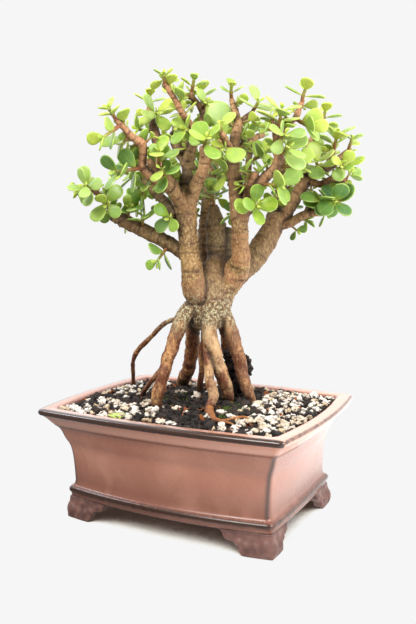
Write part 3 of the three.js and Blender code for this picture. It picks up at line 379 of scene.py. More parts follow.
class Finish:
    """A material and short ways to add nodes to it."""

    def __init__(self, name, roughness=0.6):
        self.material = bpy.data.materials.new(name)
        self.material.use_nodes = True
        self.nodes = self.material.node_tree.nodes
        self.links = self.material.node_tree.links
        self.shader = self.nodes["Principled BSDF"]
        self.shader.inputs["Roughness"].default_value = roughness
        self.place = self.add("ShaderNodeTexCoord").outputs["Object"]

    def add(self, kind, inputs=(), **settings):
        """Adds a node; inputs are (name or number, value or socket)."""
        made = self.nodes.new(kind)
        for key, value in settings.items():
            setattr(made, key, value)
        for key, value in inputs:
            self.join(value, made.inputs[key])
        return made

    def join(self, value, socket):
        """Links a socket, or sets a value; colours are given as sRGB from 0 to 255."""
        if isinstance(value, bpy.types.NodeSocket):
            self.links.new(value, socket)
        else:
            socket.default_value = srgb(*value) if socket.type == "RGBA" else value

    def set(self, **inputs):
        """Sets sockets of the shader: Base_Color=..., Roughness=..."""
        for key, value in inputs.items():
            self.join(value, self.shader.inputs[key.replace("_", " ")])

    def noise(self, scale, detail=3.0, stretch=None, distortion=0.0):
        """Noise from 0 to 1 with features about 1/scale metres wide."""
        place = self.place
        if stretch:
            place = self.add("ShaderNodeMapping", [("Vector", place), ("Scale", stretch)])
            place = place.outputs["Vector"]
        made = self.add("ShaderNodeTexNoise", [
            ("Vector", place), ("Scale", scale), ("Detail", detail), ("Distortion", distortion)])
        return made.outputs["Fac"]

    def cells(self, scale):
        made = self.add("ShaderNodeTexVoronoi", [("Vector", self.place), ("Scale", scale)])
        return made.outputs["Distance"]

    def spread(self, value, low, high, to_low=0.0, to_high=1.0):
        """Maps low..high to to_low..to_high and holds it there."""
        made = self.add("ShaderNodeMapRange", [
            ("Value", value), ("From Min", low), ("From Max", high),
            ("To Min", to_low), ("To Max", to_high)])
        return made.outputs["Result"]

    def sums(self, operation, a, b):
        return self.add("ShaderNodeMath", [(0, a), (1, b)], operation=operation).outputs[0]

    def mix(self, share, a, b):
        made = self.add("ShaderNodeMix", data_type="RGBA")
        for number, value in ((0, share), (6, a), (7, b)):
            self.join(value, made.inputs[number])
        return made.outputs[2]

    def ramp(self, value, stops):
        """Colours between stops, each given as (value, linear colour)."""
        made = self.add("ShaderNodeValToRGB", [("Fac", value)])
        elements = made.color_ramp.elements
        while len(elements) < len(stops):
            elements.new(0.5)
        for element, (at, colour) in zip(elements, stops):
            element.position = at
            element.color = colour
        return made.outputs["Color"]

    def attribute(self, name):
        """The three channels of a colour attribute of the piece."""
        made = self.add("ShaderNodeAttribute", attribute_name=name)
        parts = self.add("ShaderNodeSeparateColor", [("Color", made.outputs["Color"])])
        return parts.outputs["Red"], parts.outputs["Green"], parts.outputs["Blue"]

    def crevice_shade(self, distance, darkest):
        """Painted shade: a grey from ambient occlusion that falls to `darkest` in hollows about that
        wide.
        """
        cover = self.add("ShaderNodeAmbientOcclusion", [("Distance", distance)], samples=6)
        return self.spread(cover.outputs["AO"], 0.35, 0.95, darkest, 1.0)

    def height(self):
        """Height above the standing surface, in metres."""
        return self.add("ShaderNodeSeparateXYZ", [(0, self.place)]).outputs["Z"]

    def bump(self, height, distance, strength=1.0):
        made = self.add("ShaderNodeBump", [
            ("Height", height), ("Distance", distance * MM), ("Strength", strength)])
        self.links.new(made.outputs["Normal"], self.shader.inputs["Normal"])


def mesh_of(bm, name):
    """Turns a bmesh into a mesh and frees it."""
    mesh = bpy.data.meshes.new(name)
    bm.to_mesh(mesh)
    bm.free()
    return mesh


def copy_into(bm, shape):
    """Adds a copy of a mesh to a bmesh and returns its vertices."""
    before = len(bm.verts)
    bm.from_mesh(shape)
    bm.verts.ensure_lookup_table()
    return bm.verts[before:]


def finish_piece(name, mesh, materials, replaces=(), smooth=True):
    """Makes an object of a mesh in millimetres and ties it to the frame."""
    mesh.name = name
    mesh.transform(TO_PLACE)
    mesh.polygons.foreach_set("use_smooth", [smooth] * len(mesh.polygons))
    mesh.update()
    piece = bpy.data.objects.new(name, mesh)
    bpy.context.scene.collection.objects.link(piece)
    for material in materials:
        mesh.materials.append(material)
    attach(piece, "root")
    if replaces:
        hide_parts(*replaces)
    return piece


def applied(mesh, *modifiers):
    """A mesh with modifiers applied, each given as (type, settings)."""
    holder = bpy.data.objects.new("holder", mesh)
    bpy.context.scene.collection.objects.link(holder)
    for kind, settings in modifiers:
        modifier = holder.modifiers.new(kind, kind)
        for key, value in settings.items():
            setattr(modifier, key, value)
    graph = bpy.context.evaluated_depsgraph_get()
    made = bpy.data.meshes.new_from_object(holder.evaluated_get(graph))
    bpy.data.objects.remove(holder)
    return made


def read_points(mesh):
    points = np.empty(len(mesh.vertices) * 3)
    mesh.vertices.foreach_get("co", points)
    return points.reshape(-1, 3)


def read_normals(mesh):
    normals = np.empty(len(mesh.vertices) * 3, np.float32)
    mesh.vertex_normals.foreach_get("vector", normals)
    return normals.reshape(-1, 3).astype(float)


def write_points(mesh, points):
    mesh.vertices.foreach_set("co", points.astype(np.float32).ravel())
    mesh.update()


def paint(mesh, name, red, green, blue):
    """Stores three numbers for each vertex as a colour attribute."""
    layer = mesh.attributes.new(name, "FLOAT_COLOR", "POINT")
    values = np.ones((len(mesh.vertices), 4), np.float32)
    values[:, 0], values[:, 1], values[:, 2] = red, green, blue
    layer.data.foreach_set("color", values.ravel())


def noise_at(points, scale, seed=0.0):
    """Smooth noise from about -1 to 1 at each point."""
    shift = Vector((seed, 2.7 * seed, -1.3 * seed))
    return np.array([noise.noise(Vector(p) * scale + shift) for p in points])


def unit(vector):
    return vector / np.linalg.norm(vector)


def smooth_path(points, steps):
    """A centripetal curve through points of any width, as an array."""
    given = np.array(points, float)
    padded = np.vstack([2 * given[0] - given[1], given, 2 * given[-1] - given[-2]])
    made = []
    for i in range(1, len(padded) - 2):
        corners = padded[i - 1:i + 3]
        gaps = [max(np.linalg.norm(b[:3] - a[:3]), 1e-6) ** 0.5
                for a, b in zip(corners, corners[1:])]
        t0, t1, t2, t3 = np.concatenate([[0], np.cumsum(gaps)])
        last = i == len(padded) - 3
        for t in np.linspace(t1, t2, steps + 1)[: None if last else -1]:
            a1, a2, a3 = (
                (hi - t) / (hi - lo) * p + (t - lo) / (hi - lo) * q
                for lo, hi, p, q in (
                    (t0, t1, corners[0], corners[1]),
                    (t1, t2, corners[1], corners[2]),
                    (t2, t3, corners[2], corners[3])))
            b1 = (t2 - t) / (t2 - t0) * a1 + (t - t0) / (t2 - t0) * a2
            b2 = (t3 - t) / (t3 - t1) * a2 + (t - t1) / (t3 - t1) * a3
            made.append((t2 - t) / (t2 - t1) * b1 + (t - t1) / (t2 - t1) * b2)
    return np.array(made)


def floor_material(level):
    """A bright studio floor: to the camera it shows emission that ambient occlusion darkens into a
    painted shadow under the pot; to other rays it glows as a lamp, brighter to the right and behind.
    """
    finish = Finish("floor", roughness=0.9)
    cover = finish.add("ShaderNodeAmbientOcclusion", [("Distance", 60 * MM)], samples=16)
    # Painted shadow: dark brown where the pot covers the floor, fading to the backdrop's grey.
    shade = finish.ramp(cover.outputs["AO"], [
        (0.16, srgb(60, 46, 40)), (0.2, srgb(98, 82, 74)), (0.235, srgb(134, 122, 114)),
        (0.275, srgb(242, 228, 212)), (0.32, srgb(246, 245, 235)),
        (0.37, (level, level, level, 1.0))])
    seen = finish.add("ShaderNodeEmission", [("Color", shade)])
    place = finish.add("ShaderNodeSeparateXYZ", [(0, finish.place)])
    right = finish.sums("MULTIPLY", place.outputs["X"], 0.9)
    behind = finish.sums("ADD", right, finish.sums("MULTIPLY", place.outputs["Y"], 0.35))
    glow = finish.add("ShaderNodeEmission", [
        ("Strength", finish.spread(behind, -0.05, 0.2, 0.3, 2.15))])
    ray = finish.add("ShaderNodeLightPath")
    mix = finish.add("ShaderNodeMixShader", [
        ("Fac", ray.outputs["Is Camera Ray"]), (1, glow.outputs[0]), (2, seen.outputs[0])])
    finish.links.new(mix.outputs[0], finish.nodes["Material Output"].inputs["Surface"])
    return finish.material


# Pot


def outline_stations():
    """Stations round the pot: (side, t along it from -1 to 1, corner turn or None)."""
    stations = []
    for side in range(4):
        for j in range(SIDE_STEPS):
            stations.append((side, 2 * j / (SIDE_STEPS - 1) - 1, 0.0))
        for j in range(1, CORNER_STEPS):
            stations.append((side, 1.0, j / CORNER_STEPS))
    return stations


STATIONS = outline_stations()


def bows_at(height):
    """Bows of the long and the short sides, which go over from the foot's to the rim's."""
    flare = np.clip((height - FLARE_FROM) / FLARE_RISE, 0, 1)
    return (a + (b - a) * flare for a, b in zip(FOOT_BOWS, RIM_BOWS))


def outline_point(station, inset, height):
    """A point of the pot's outline at a distance in from the rim and a height."""
    side, t, corner = STATIONS[station % len(STATIONS)]
    half_x = RIM_LENGTH / 2 - inset
    half_y = RIM_WIDTH / 2 - inset
    long_bow, short_bow = bows_at(height)
    along_y = side % 2 == 0
    reach, half, bow = (half_x, half_y, short_bow) if along_y else (half_y, half_x, long_bow)
    radius = CORNER_RADIUS
    angle = corner * math.pi / 2
    out = reach - radius * (1 - math.cos(angle)) + bow * (1 - t * t)
    along = (half - radius) * t + radius * math.sin(angle)
    turn = side * math.pi / 2
    cos, sin = round(math.cos(turn)), round(math.sin(turn))
    return out * cos - along * sin, out * sin + along * cos


def squared_spin(profile, deepest):
    """Spins a profile of (inset, height) and squares it to the pot's outline."""
    reach = RIM_WIDTH / 2
    bm = bmesh.new()
    ring = [bm.verts.new((reach - inset, 0, z)) for inset, z in profile]
    edges = [bm.edges.new(pair) for pair in zip(ring, ring[1:])]
    bmesh.ops.spin(
        bm, geom=ring + edges, cent=(0, 0, 0), axis=(0, 0, 1), dvec=(0, 0, 0),
        angle=2 * math.pi, steps=len(STATIONS), use_merge=True, use_duplicate=False)
    for v in bm.verts:
        x, y, z = v.co
        radius = math.hypot(x, y)
        station = round(math.atan2(y, x) / (2 * math.pi) * len(STATIONS)) % len(STATIONS)
        inset = min(reach - radius, deepest)
        shrink = min(1.0, radius / (reach - deepest))
        px, py = outline_point(station, inset, z)
        v.co = (px * shrink, py * shrink, z)
    bmesh.ops.remove_doubles(bm, verts=bm.verts, dist=0.01)
    bmesh.ops.recalc_face_normals(bm, faces=bm.faces)
    return bm


def rim_insets(points):
    """How far in from the rim's two nearest sides each point lies, nearer first."""
    x, y, z = np.abs(points.T)
    long_bow, short_bow = bows_at(z)
    across = RIM_LENGTH / 2 + short_bow * (1 - np.clip(y / (RIM_WIDTH / 2 - 8), 0, 1) ** 2) - x
    along = RIM_WIDTH / 2 + long_bow * (1 - np.clip(x / (RIM_LENGTH / 2 - 8), 0, 1) ** 2) - y
    return np.minimum(across, along), np.maximum(across, along), across < along


def glaze_breaks_and_shade(points):
    """How far the glaze breaks dark on the rolls, the upright arrises and the underside, made paler on
    the right short side as a painted highlight; and painted shade under the band below the rim, on the
    ledge and on the inner wall.
    """
    near, far, short_side = rim_insets(points)
    z = points[:, 2]
    # Painted highlight: on the right short side the dark rim band is narrower.
    right = short_side & (points[:, 0] > 0)
    rim_from = np.where(right, 83.2, 81.0)
    rim_width = np.where(right, 1.9, 3.5)
    rim = np.clip((z - rim_from) / 0.9, 0, 1) * np.clip((rim_width - near) / 0.8, 0, 1)
    roll = np.clip(1.25 - np.abs(z - 22.2) / 2.5, 0, 1) * (near > 8) * (near < 19)
    foot = np.clip((17.3 - z) / 0.6, 0, 1) * 0.7 * (near > 8) * (near < 25)
    arris = np.exp(-((far - near) / 2.3) ** 2) * (z > 26) * (z < 81)
    # Painted shade: a dark line at the foot of the band under the rim.
    painted_shade = np.exp(-((z - 72.0) / 0.8) ** 2)
    # Painted highlight: every break on the right short side is paler.
    pale = np.where(right, 0.72, 1.0)
    # Painted shade: the ledge darker towards the left, and the inner wall between rim and soil.
    ledge = np.clip((z - 84) / 0.8, 0, 1) * np.clip((90 - points[:, 0]) / 70, 0.15, 0.8)
    inside = np.clip((near - 9.9) / 0.7, 0, 1) * (z > 60)
    tones = np.maximum(ledge, inside)
    return np.maximum.reduce([rim, roll, foot]) * pale, arris, np.where(z > 82, tones, painted_shade)


def foot_outline(length):
    """The cloud-shaped side of a bracket, from the corner to its wing."""
    height, toe = FOOT_HEIGHT, FOOT_TOE
    curve = smooth_path([
        (0.46 * length, 0, 0), (0.56 * length, 0.5, 0), (0.6 * length, toe * 0.7, 0),
        (0.6 * length, toe * 1.35, 0), (0.66 * length, toe * 1.95, 0),
        (0.78 * length, toe * 2.15, 0), (0.87 * length, toe * 2.6, 0),
        (0.9 * length, height * 0.86, 0), (length, height, 0)], 4)[:, :2]
    return [(0, 0), *map(tuple, curve), (0, height)]


def bracket_into(bm, length, along_y):
    """The plate behind the lobes: its outline pushed inwards to its thickness."""
    corners = [bm.verts.new((x, 0, z)) for x, z in foot_outline(length)]
    face = bm.faces.new(corners)
    grown = bmesh.ops.extrude_face_region(bm, geom=[face])["geom"]
    inner = [v for v in grown if isinstance(v, bmesh.types.BMVert)]
    bmesh.ops.translate(bm, verts=inner, vec=(0, FOOT_THICK - FOOT_SUNK, 0))
    plate = corners + inner
    for v in plate:
        run, inward, z = v.co
        out = FOOT_FLARE * max(0.0, 1 - z / FOOT_HEIGHT) ** 1.5
        inward += FOOT_SUNK - out * (1 if inward < FOOT_THICK / 2 else 0.35)
        run += 0.5 - out * 0.8
        v.co = (inward, run, z) if along_y else (run, inward, z)


def lobes_into(bm, share, along_y):
    """The rounded toes and the curl that rises to the foot's wing."""
    for run, inward, z, wide, deep, tall, lean in FOOT_LOBES:
        turn = Matrix.Rotation(math.radians(lean), 4, "Y")
        place = Matrix.Translation((run * share, inward, z)) @ turn
        place = place @ Matrix.Diagonal((wide * share, deep, tall, 1))
        if along_y:
            place = Matrix(((0, 1, 0, 0), (1, 0, 0, 0), (0, 0, 1, 0), (0, 0, 0, 1))) @ place
        bmesh.ops.create_uvsphere(bm, u_segments=20, v_segments=12, radius=1.0, matrix=place)


def feet_mesh():
    """The four scroll feet as one mesh, each rounded and carved."""
    bm = bmesh.new()
    half_x = RIM_LENGTH / 2 - FOOT_INSET
    half_y = RIM_WIDTH / 2 - FOOT_INSET
    for sign_x, sign_y in ((1, 1), (1, -1), (-1, 1), (-1, -1)):
        foot = bmesh.new()
        for length, along_y in ((FOOT_LENGTH, False), (FOOT_RUN, True)):
            bracket_into(foot, length, along_y)
            lobes_into(foot, length / FOOT_LENGTH, along_y)
        bmesh.ops.triangulate(foot, faces=foot.faces)
        bmesh.ops.recalc_face_normals(foot, faces=foot.faces)
        whole = applied(
            mesh_of(foot, "foot"),
            ("REMESH", {"mode": "VOXEL", "voxel_size": 0.55}),
            ("SMOOTH", {"factor": 0.5, "iterations": 20}))
        points = read_points(whole)
        points += read_normals(whole) * 0.07 * noise_at(points, 0.35)[:, None]
        points[:, 2] = np.clip(points[:, 2], 0.0, FOOT_HEIGHT + 0.4)
        x = half_x - points[:, 0]
        y = half_y - points[:, 1]
        points[:, 0] = sign_x * (x + FOOT_BOWS[1] * np.clip(1 - (y / half_y) ** 2, 0, 1))
        points[:, 1] = sign_y * (y + FOOT_BOWS[0] * np.clip(1 - (x / half_x) ** 2, 0, 1))
        write_points(whole, points)
        if sign_x * sign_y < 0:
            whole.flip_normals()
        bm.from_mesh(whole)
    return mesh_of(bm, "pot_feet")


def glaze_material(pot):
    finish = Finish("glaze", roughness=0.3)
    broad = finish.noise(16.0, 3.0, distortion=0.6)
    streaks = finish.noise(34.0, 5.0, stretch=(1.0, 1.0, 0.7), distortion=0.4)
    grain = finish.noise(1100.0, 2.0)
    # Darker towards the bottom of the walls.
    high = finish.spread(finish.height(), 0.024, 0.052)
    warm = finish.mix(finish.spread(broad, 0.38, 0.66), pot.glaze_dark, pot.glaze)
    low = finish.mix(high, pot.glaze_low_and_shade, warm)
    cloudy = finish.mix(finish.spread(streaks, 0.52, 0.74, 0.0, 0.3), low, pot.glaze_bloom_and_light)
    fine = finish.mix(finish.spread(grain, 0.35, 0.7, 0.0, 0.16), cloudy, (96, 60, 46))
    edge, arris, painted_shade = finish.attribute("glaze_break_and_shade")
    wander = finish.spread(finish.noise(260.0, 3.0), 0.3, 0.7, -0.14, 0.14)
    dark = finish.spread(finish.sums("ADD", edge, wander), 0.2, 0.85)
    colour = finish.mix(finish.sums("MULTIPLY", arris, 0.95), fine, pot.arris)
    # Painted light: from the line under the rim's band upwards the glaze is lightened to the bloom
    # colour.
    painted_light_above = finish.spread(finish.height(), 0.0725, 0.0745)
    colour = finish.mix(painted_light_above, colour, pot.glaze_bloom_and_light)
    # Painted shade: the line under the band, the ledge and the inner wall darken towards the low
    # glaze.
    colour = finish.mix(finish.sums("MULTIPLY", painted_shade, 0.8), colour, pot.glaze_low_and_shade)
    colour = finish.mix(dark, colour, pot.edge)
    # Painted shade in hollows, from ambient occlusion.
    colour = finish.mix(finish.crevice_shade(16 * MM, 0.45), (92, 52, 42), colour)
    finish.set(Base_Color=colour, Roughness=finish.spread(streaks, 0.3, 0.7, 0.2, 0.34))
    coat = finish.spread(finish.height(), 0.028, 0.036, 0.0, 0.35)
    glassy = finish.sums("MULTIPLY", dark, finish.spread(finish.height(), 0.07, 0.08, 0.0, 0.55))
    finish.set(Coat_Weight=finish.sums("MAXIMUM", coat, glassy))
    finish.set(Coat_Roughness=0.12)
    finish.bump(finish.noise(300.0, 2.0), 0.1, 0.3)
    return finish.material


def clay_material(pot):
    finish = Finish("bare_clay", roughness=0.55)
    blotch = finish.noise(120.0, 4.0)
    colour = finish.mix(finish.spread(blotch, 0.35, 0.65), pot.clay, pot.clay_dark)
    # Painted shade at the tops of the feet, under the pot.
    low, _, _ = finish.attribute("foot_top_shade")
    finish.set(Base_Color=finish.mix(low, colour, (52, 32, 28)))
    finish.set(Roughness=finish.spread(blotch, 0.3, 0.7, 0.42, 0.65))
    finish.bump(finish.noise(1500.0, 3.0), 0.12, 0.6)
    return finish.material


# Soil


def soil_height(x, y):
    a = (x - 6) / 75
    b = (y - 5) / 55
    rise = SOIL_RISE * math.exp(-(a * a + b * b))
    mound = MOUND_RISE * math.exp(-(((x - 8) / 22) ** 2 + ((y - 16) / 20) ** 2))
    return SOIL_EDGE + rise + mound + 0.5 * math.sin(x * 0.19) * math.cos(y * 0.23)


def inside_pot(x, y, margin):
    """True where a grain of that size lies clear of the pot's inner wall."""
    half_x = RIM_LENGTH / 2 - GRIT_EDGE - margin
    half_y = RIM_WIDTH / 2 - GRIT_EDGE - margin
    bow_x = RIM_BOWS[1] * (1 - min(1, abs(y / half_y)) ** 2)
    bow_y = RIM_BOWS[0] * (1 - min(1, abs(x / half_x)) ** 2)
    return abs(x) < half_x + bow_x and abs(y) < half_y + bow_y


def soil_bed():
    """The dark crumbly bed: a closed block with a rough top."""
    rings = 46
    top = [(10.9 + (73 - 10.9) * i / rings, SOIL_EDGE) for i in range(rings + 1)]
    sides = [(73, 60), (18, 60), (14, 71), (11.2, 78)]
    bm = squared_spin(sides + top, 52.0)
    for v in bm.verts:
        if v.co.z >= SOIL_EDGE - 0.01:
            x, y, _ = v.co
            rough = 1.6 * noise.noise(Vector((x, y, 0)) * 0.2)
            rough += 1.2 * noise.noise(Vector((x, y, 5)) * 0.7)
            v.co.z = soil_height(x, y) + rough - 0.9
    return bm


def bones_of(limbs):
    starts, ends, start_radii, end_radii = [], [], [], []
    for points in limbs.values():
        for a, b in zip(points, points[1:]):
            starts.append(a[:3])
            ends.append(b[:3])
            start_radii.append(a[3])
            end_radii.append(b[3])
    return tuple(np.array(v, float) for v in (starts, ends, start_radii, end_radii))


def clearances(points, bones):
    """Distance from each point to the nearest surface of a skeleton of bones."""
    starts, ends, start_radii, end_radii = bones
    points = np.asarray(points, float).reshape(-1, 1, 3)
    span = ends - starts
    t = ((points - starts) * span).sum(2) / (span ** 2).sum(1)
    t = np.clip(t, 0, 1)
    nearest = starts + span * t[..., None]
    distance = np.linalg.norm(nearest - points, axis=2)
    return (distance - (start_radii + (end_radii - start_radii) * t)).min(1)


ROOT_BONES = bones_of(ROOTS)
BONES = bones_of({**ROOTS, **LIMBS})


def scatter(roll, count, sizes, wanted, taken, gap):
    """Places for grains of a size range where wanted(x, y) is likely."""
    places = []
    for _ in range(count * 14):
        if len(places) >= count:
            break
        x = roll.uniform(-92, 92)
        y = roll.uniform(-68, 68)
        size = roll.uniform(*sizes)
        if roll.random() > wanted(x, y) or not inside_pot(x, y, size * 0.8):
            continue
        cell = (int(x // 8), int(y // 8))
        near = [
            p for i in (-1, 0, 1) for j in (-1, 0, 1)
            for p in taken.get((cell[0] + i, cell[1] + j), ())]
        if any(math.hypot(x - p[0], y - p[1]) < (size + p[2]) * gap for p in near):
            continue
        z = soil_height(x, y)
        if clearances((x, y, z + size * 0.5), ROOT_BONES)[0] < size * 0.7:
            continue
        taken.setdefault(cell, []).append((x, y, size))
        places.append((x, y, z, size))
    return places


def ball_mesh(detail):
    """A ball of radius 1, which each grain is a copy of."""
    bm = bmesh.new()
    bmesh.ops.create_icosphere(bm, subdivisions=detail, radius=1.0)
    return mesh_of(bm, "ball")


def add_stone(bm, ball, roll, place, size, flatness, roughness, stretch):
    """One lumpy grain of about that radius, turned any way; returns how many vertices it has."""
    made = copy_into(bm, ball)
    turn = Matrix.Rotation(roll.uniform(0, 6.3), 3, Vector(
        (roll.gauss(0, 1), roll.gauss(0, 1), roll.gauss(0, 1) + 0.01)).normalized())
    seed = Vector((roll.uniform(0, 99), roll.uniform(0, 99), 0))
    wide = 1 + roll.uniform(0, stretch)
    for v in made:
        coarse = noise.noise(v.co * 1.6 + seed) * 1.7
        lump = 1 + roughness * (coarse + noise.noise(v.co * 3.7 + seed))
        p = turn @ Vector((v.co.x * wide, v.co.y, v.co.z * flatness)) * (size * lump)
        v.co = Vector(place) + Vector((p.x, p.y, p.z * 0.92))
    return len(made)


def ease(value):
    value = min(max(value, 0.0), 1.0)
    return value * value * (3 - 2 * value)


def pumice_share(x, y):
    """Where the pale grit shows: thick at the right and left, hardly any by the roots."""
    right = 0.72 * ease((x - 36) / 16)
    left = 0.42 * ease((-x - 46) / 14)
    front_left = 0.5 * ease((-y - 18) / 12) * ease((-x - 6) / 14)
    back = 0.3 * ease((y - 30) / 14)
    patch = 0.66 + 0.7 * noise.noise(Vector((x, y, 3)) * 0.1)
    return max(0.05, right, left, front_left, back) * min(max(patch, 0.1), 1.0)


def moss_share(x, y):
    patch = math.exp(-(((x - 38) / 12) ** 2 + ((y + 13) / 15) ** 2))
    return max(patch, 0.6 * math.exp(-(((x + 22) / 9) ** 2 + ((y - 2) / 22) ** 2)))


def pumice_material(soil):
    finish = Finish("pumice", roughness=0.9)
    tone, _, _ = finish.attribute("grain")
    cream = finish.mix(finish.spread(tone, 0.4, 1.0), soil.pumice, soil.pumice_cream)
    pores = finish.spread(finish.cells(1100.0), 0.0, 0.35)
    stain = finish.spread(finish.noise(420.0, 4.0), 0.5, 0.7, 0.0, 0.55)
    speck = finish.mix(stain, cream, (136, 108, 72))
    colour = finish.mix(pores, finish.mix(0.6, speck, (104, 84, 60)), speck)
    # Painted shade in the hollows between grains, from ambient occlusion.
    colour = finish.mix(finish.crevice_shade(5 * MM, 0.0), (74, 56, 42), colour)
    finish.set(Base_Color=colour)
    finish.bump(finish.sums("ADD", pores, finish.noise(1400.0, 3.0)), 0.25, 0.7)
    return finish.material


def dark_material(name, light, dark, roughness=0.85):
    finish = Finish(name, roughness=roughness)
    tone, _, _ = finish.attribute("grain")
    blotch = finish.noise(900.0, 3.0)
    shade = finish.sums("MULTIPLY", tone, finish.spread(blotch, 0.35, 0.65, 0.1, 1.0))
    finish.set(Base_Color=finish.mix(shade, dark, light))
    finish.bump(finish.noise(1800.0, 4.0), 0.3, 0.8)
    return finish.material


def finish_grains(name, bm, counts, tones, material, smooth=True):
    """Paints each grain's vertices with its own tone and finishes the piece."""
    mesh = mesh_of(bm, name)
    tone = np.repeat(tones, counts)
    paint(mesh, "grain", tone, tone, tone)
    finish_piece(name, mesh, [material], smooth=smooth)


def grains_piece(name, roll, places, detail, material, shape, sink):
    """Grains of a shape (flatness, roughness, stretch), each sunk by a share of its size."""
    bm = bmesh.new()
    ball = ball_mesh(detail)
    counts, tones = [], []
    for x, y, z, size in places:
        place = (x, y, z + size * (1 - 2 * sink) * 0.5)
        counts.append(add_stone(bm, ball, roll, place, size, *shape))
        tones.append(roll.random())
    finish_grains(name, bm, counts, tones, material, smooth=detail > 1)


def tube_into(bm, path, sides=6):
    """Sweeps a circle along points of (x, y, z, radius) into a bmesh; returns its vertices."""
    path = np.asarray(path, float)
    tangents = np.gradient(path[:, :3], axis=0)
    tangents /= np.linalg.norm(tangents, axis=1)[:, None] + 1e-9
    side = np.cross(tangents[0], (0.3, 0.5, 0.81))
    made = []
    ring = bmesh.ops.create_circle(bm, cap_ends=True, segments=sides, radius=1.0)["verts"]
    corners = [v.co.copy() for v in ring]
    cap = ring[0].link_faces[0]
    for k, (point, along) in enumerate(zip(path, tangents)):
        side = side - along * side.dot(along)
        side /= np.linalg.norm(side) + 1e-9
        up = np.cross(along, side)
        if k:
            grown = bmesh.ops.extrude_face_region(bm, geom=[cap])["geom"]
            cap = next(g for g in grown if isinstance(g, bmesh.types.BMFace))
            order = {}
            for v in (g for g in grown if isinstance(g, bmesh.types.BMVert)):
                nearest = min(range(sides), key=lambda i: (v.co - last[i]).length)
                order[nearest] = v
            ring = [order[i] for i in range(sides)]
        for corner, v in zip(corners, ring):
            v.co = Vector(point[:3] + side * corner.x * point[3] + up * corner.y * point[3])
        last = [v.co.copy() for v in ring]
        made.extend(ring)
    return made


# Wood


def limb_paths():
    """Fine paths of every root and limb, with a rounded tip, as (name, array)."""
    paths = []
    for name, points in {**ROOTS, **LIMBS, **FINER_LIMBS}.items():
        path = smooth_path(points, 6)
        tip = path[-1]
        along = unit(tip[:3] - path[-2][:3])
        reach = tip[3] * (0.35 if name in CUT_ENDS else 0.8)
        caps = [
            (*(tip[:3] + along * reach * t), tip[3] * math.sqrt(1 - t * t))
            for t in (0.45, 0.75, 0.93)]
        paths.append((name, np.vstack([path, caps])))
    return paths


def wood_mesh(paths, voxel):
    """One closed skin over all the limbs, from tubes joined by remeshing."""
    curve = bpy.data.curves.new("limbs", "CURVE")
    curve.dimensions = "3D"
    curve.bevel_depth = 1.0
    curve.bevel_resolution = 4
    curve.use_fill_caps = True
    for _, path in paths:
        spline = curve.splines.new("POLY")
        spline.points.add(len(path) - 1)
        for point, (x, y, z, r) in zip(spline.points, path):
            point.co = (x, y, z, 1.0)
            point.radius = r + 0.12
    holder = bpy.data.objects.new("limbs", curve)
    bpy.context.scene.collection.objects.link(holder)
    graph = bpy.context.evaluated_depsgraph_get()
    tubes = bpy.data.meshes.new_from_object(holder.evaluated_get(graph))
    bpy.data.objects.remove(holder)
    return applied(
        tubes, ("REMESH", {"mode": "VOXEL", "voxel_size": voxel}),
        ("SMOOTH", {"factor": 0.5, "iterations": 5}))


def nearest_on_limbs(points, paths):
    """Where each point lies on its nearest limb, and how deep in a crotch it is."""
    count = len(points)
    best = np.full(count, 1e9)
    second = np.full(count, 1e9)
    found = {
        "limb": np.zeros(count, int), "along": np.zeros(count), "turn": np.zeros(count),
        "radius": np.ones(count)}
    out = np.zeros((count, 3))
    second_out = np.zeros((count, 3))
    for k, (_, path) in enumerate(paths):
        low = path[:, :3].min(0) - 18
        high = path[:, :3].max(0) + 18
        inside = np.flatnonzero(((points > low) & (points < high)).all(1))
        if not len(inside):
            continue
        p = points[inside]
        here = {
            "distance": np.full(len(p), 1e9), "along": np.zeros(len(p)),
            "turn": np.zeros(len(p)), "radius": np.ones(len(p))}
        here_out = np.zeros((len(p), 3))
        lengths = np.linalg.norm(np.diff(path[:, :3], axis=0), axis=1)
        reached = np.concatenate([[0], np.cumsum(lengths)])
        main = unit(path[-1, :3] - path[0, :3])
        side = unit(np.cross(main, (0.3, 0.5, 0.81)))
        up = np.cross(main, side)
        for i, (a, b) in enumerate(zip(path, path[1:])):
            span = b[:3] - a[:3]
            t = np.clip((p - a[:3]) @ span / (span @ span), 0, 1)
            r = a[3] + (b[3] - a[3]) * t
            away = p - a[:3] - t[:, None] * span
            reach = np.linalg.norm(away, axis=1)
            closer = reach - r < here["distance"]
            here["distance"][closer] = (reach - r)[closer]
            here["along"][closer] = reached[i] + t[closer] * lengths[i]
            here["radius"][closer] = r[closer]
            here["turn"][closer] = np.arctan2(away[closer] @ up, away[closer] @ side)
            here_out[closer] = away[closer] / (reach[closer, None] + 1e-9)
        nearer = here["distance"] < best[inside]
        runner_up = ~nearer & (here["distance"] < second[inside])
        at = inside[nearer]
        second[at], second_out[at] = best[at], out[at]
        best[at], out[at] = here["distance"][nearer], here_out[nearer]
        found["limb"][at] = k
        for key in ("along", "turn", "radius"):
            found[key][at] = here[key][nearer]
        at = inside[runner_up]
        second[at], second_out[at] = here["distance"][runner_up], here_out[runner_up]
    apart = np.clip((0.8 - (out * second_out).sum(1)) / 0.45, 0, 1)
    found["crotch"] = np.exp(-((second - best) / 1.5) ** 2) * apart
    totals = np.array([np.linalg.norm(np.diff(p[:, :3], axis=0), axis=1).sum() for _, p in paths])
    found["share"] = found["along"] / totals[found["limb"]]
    return found


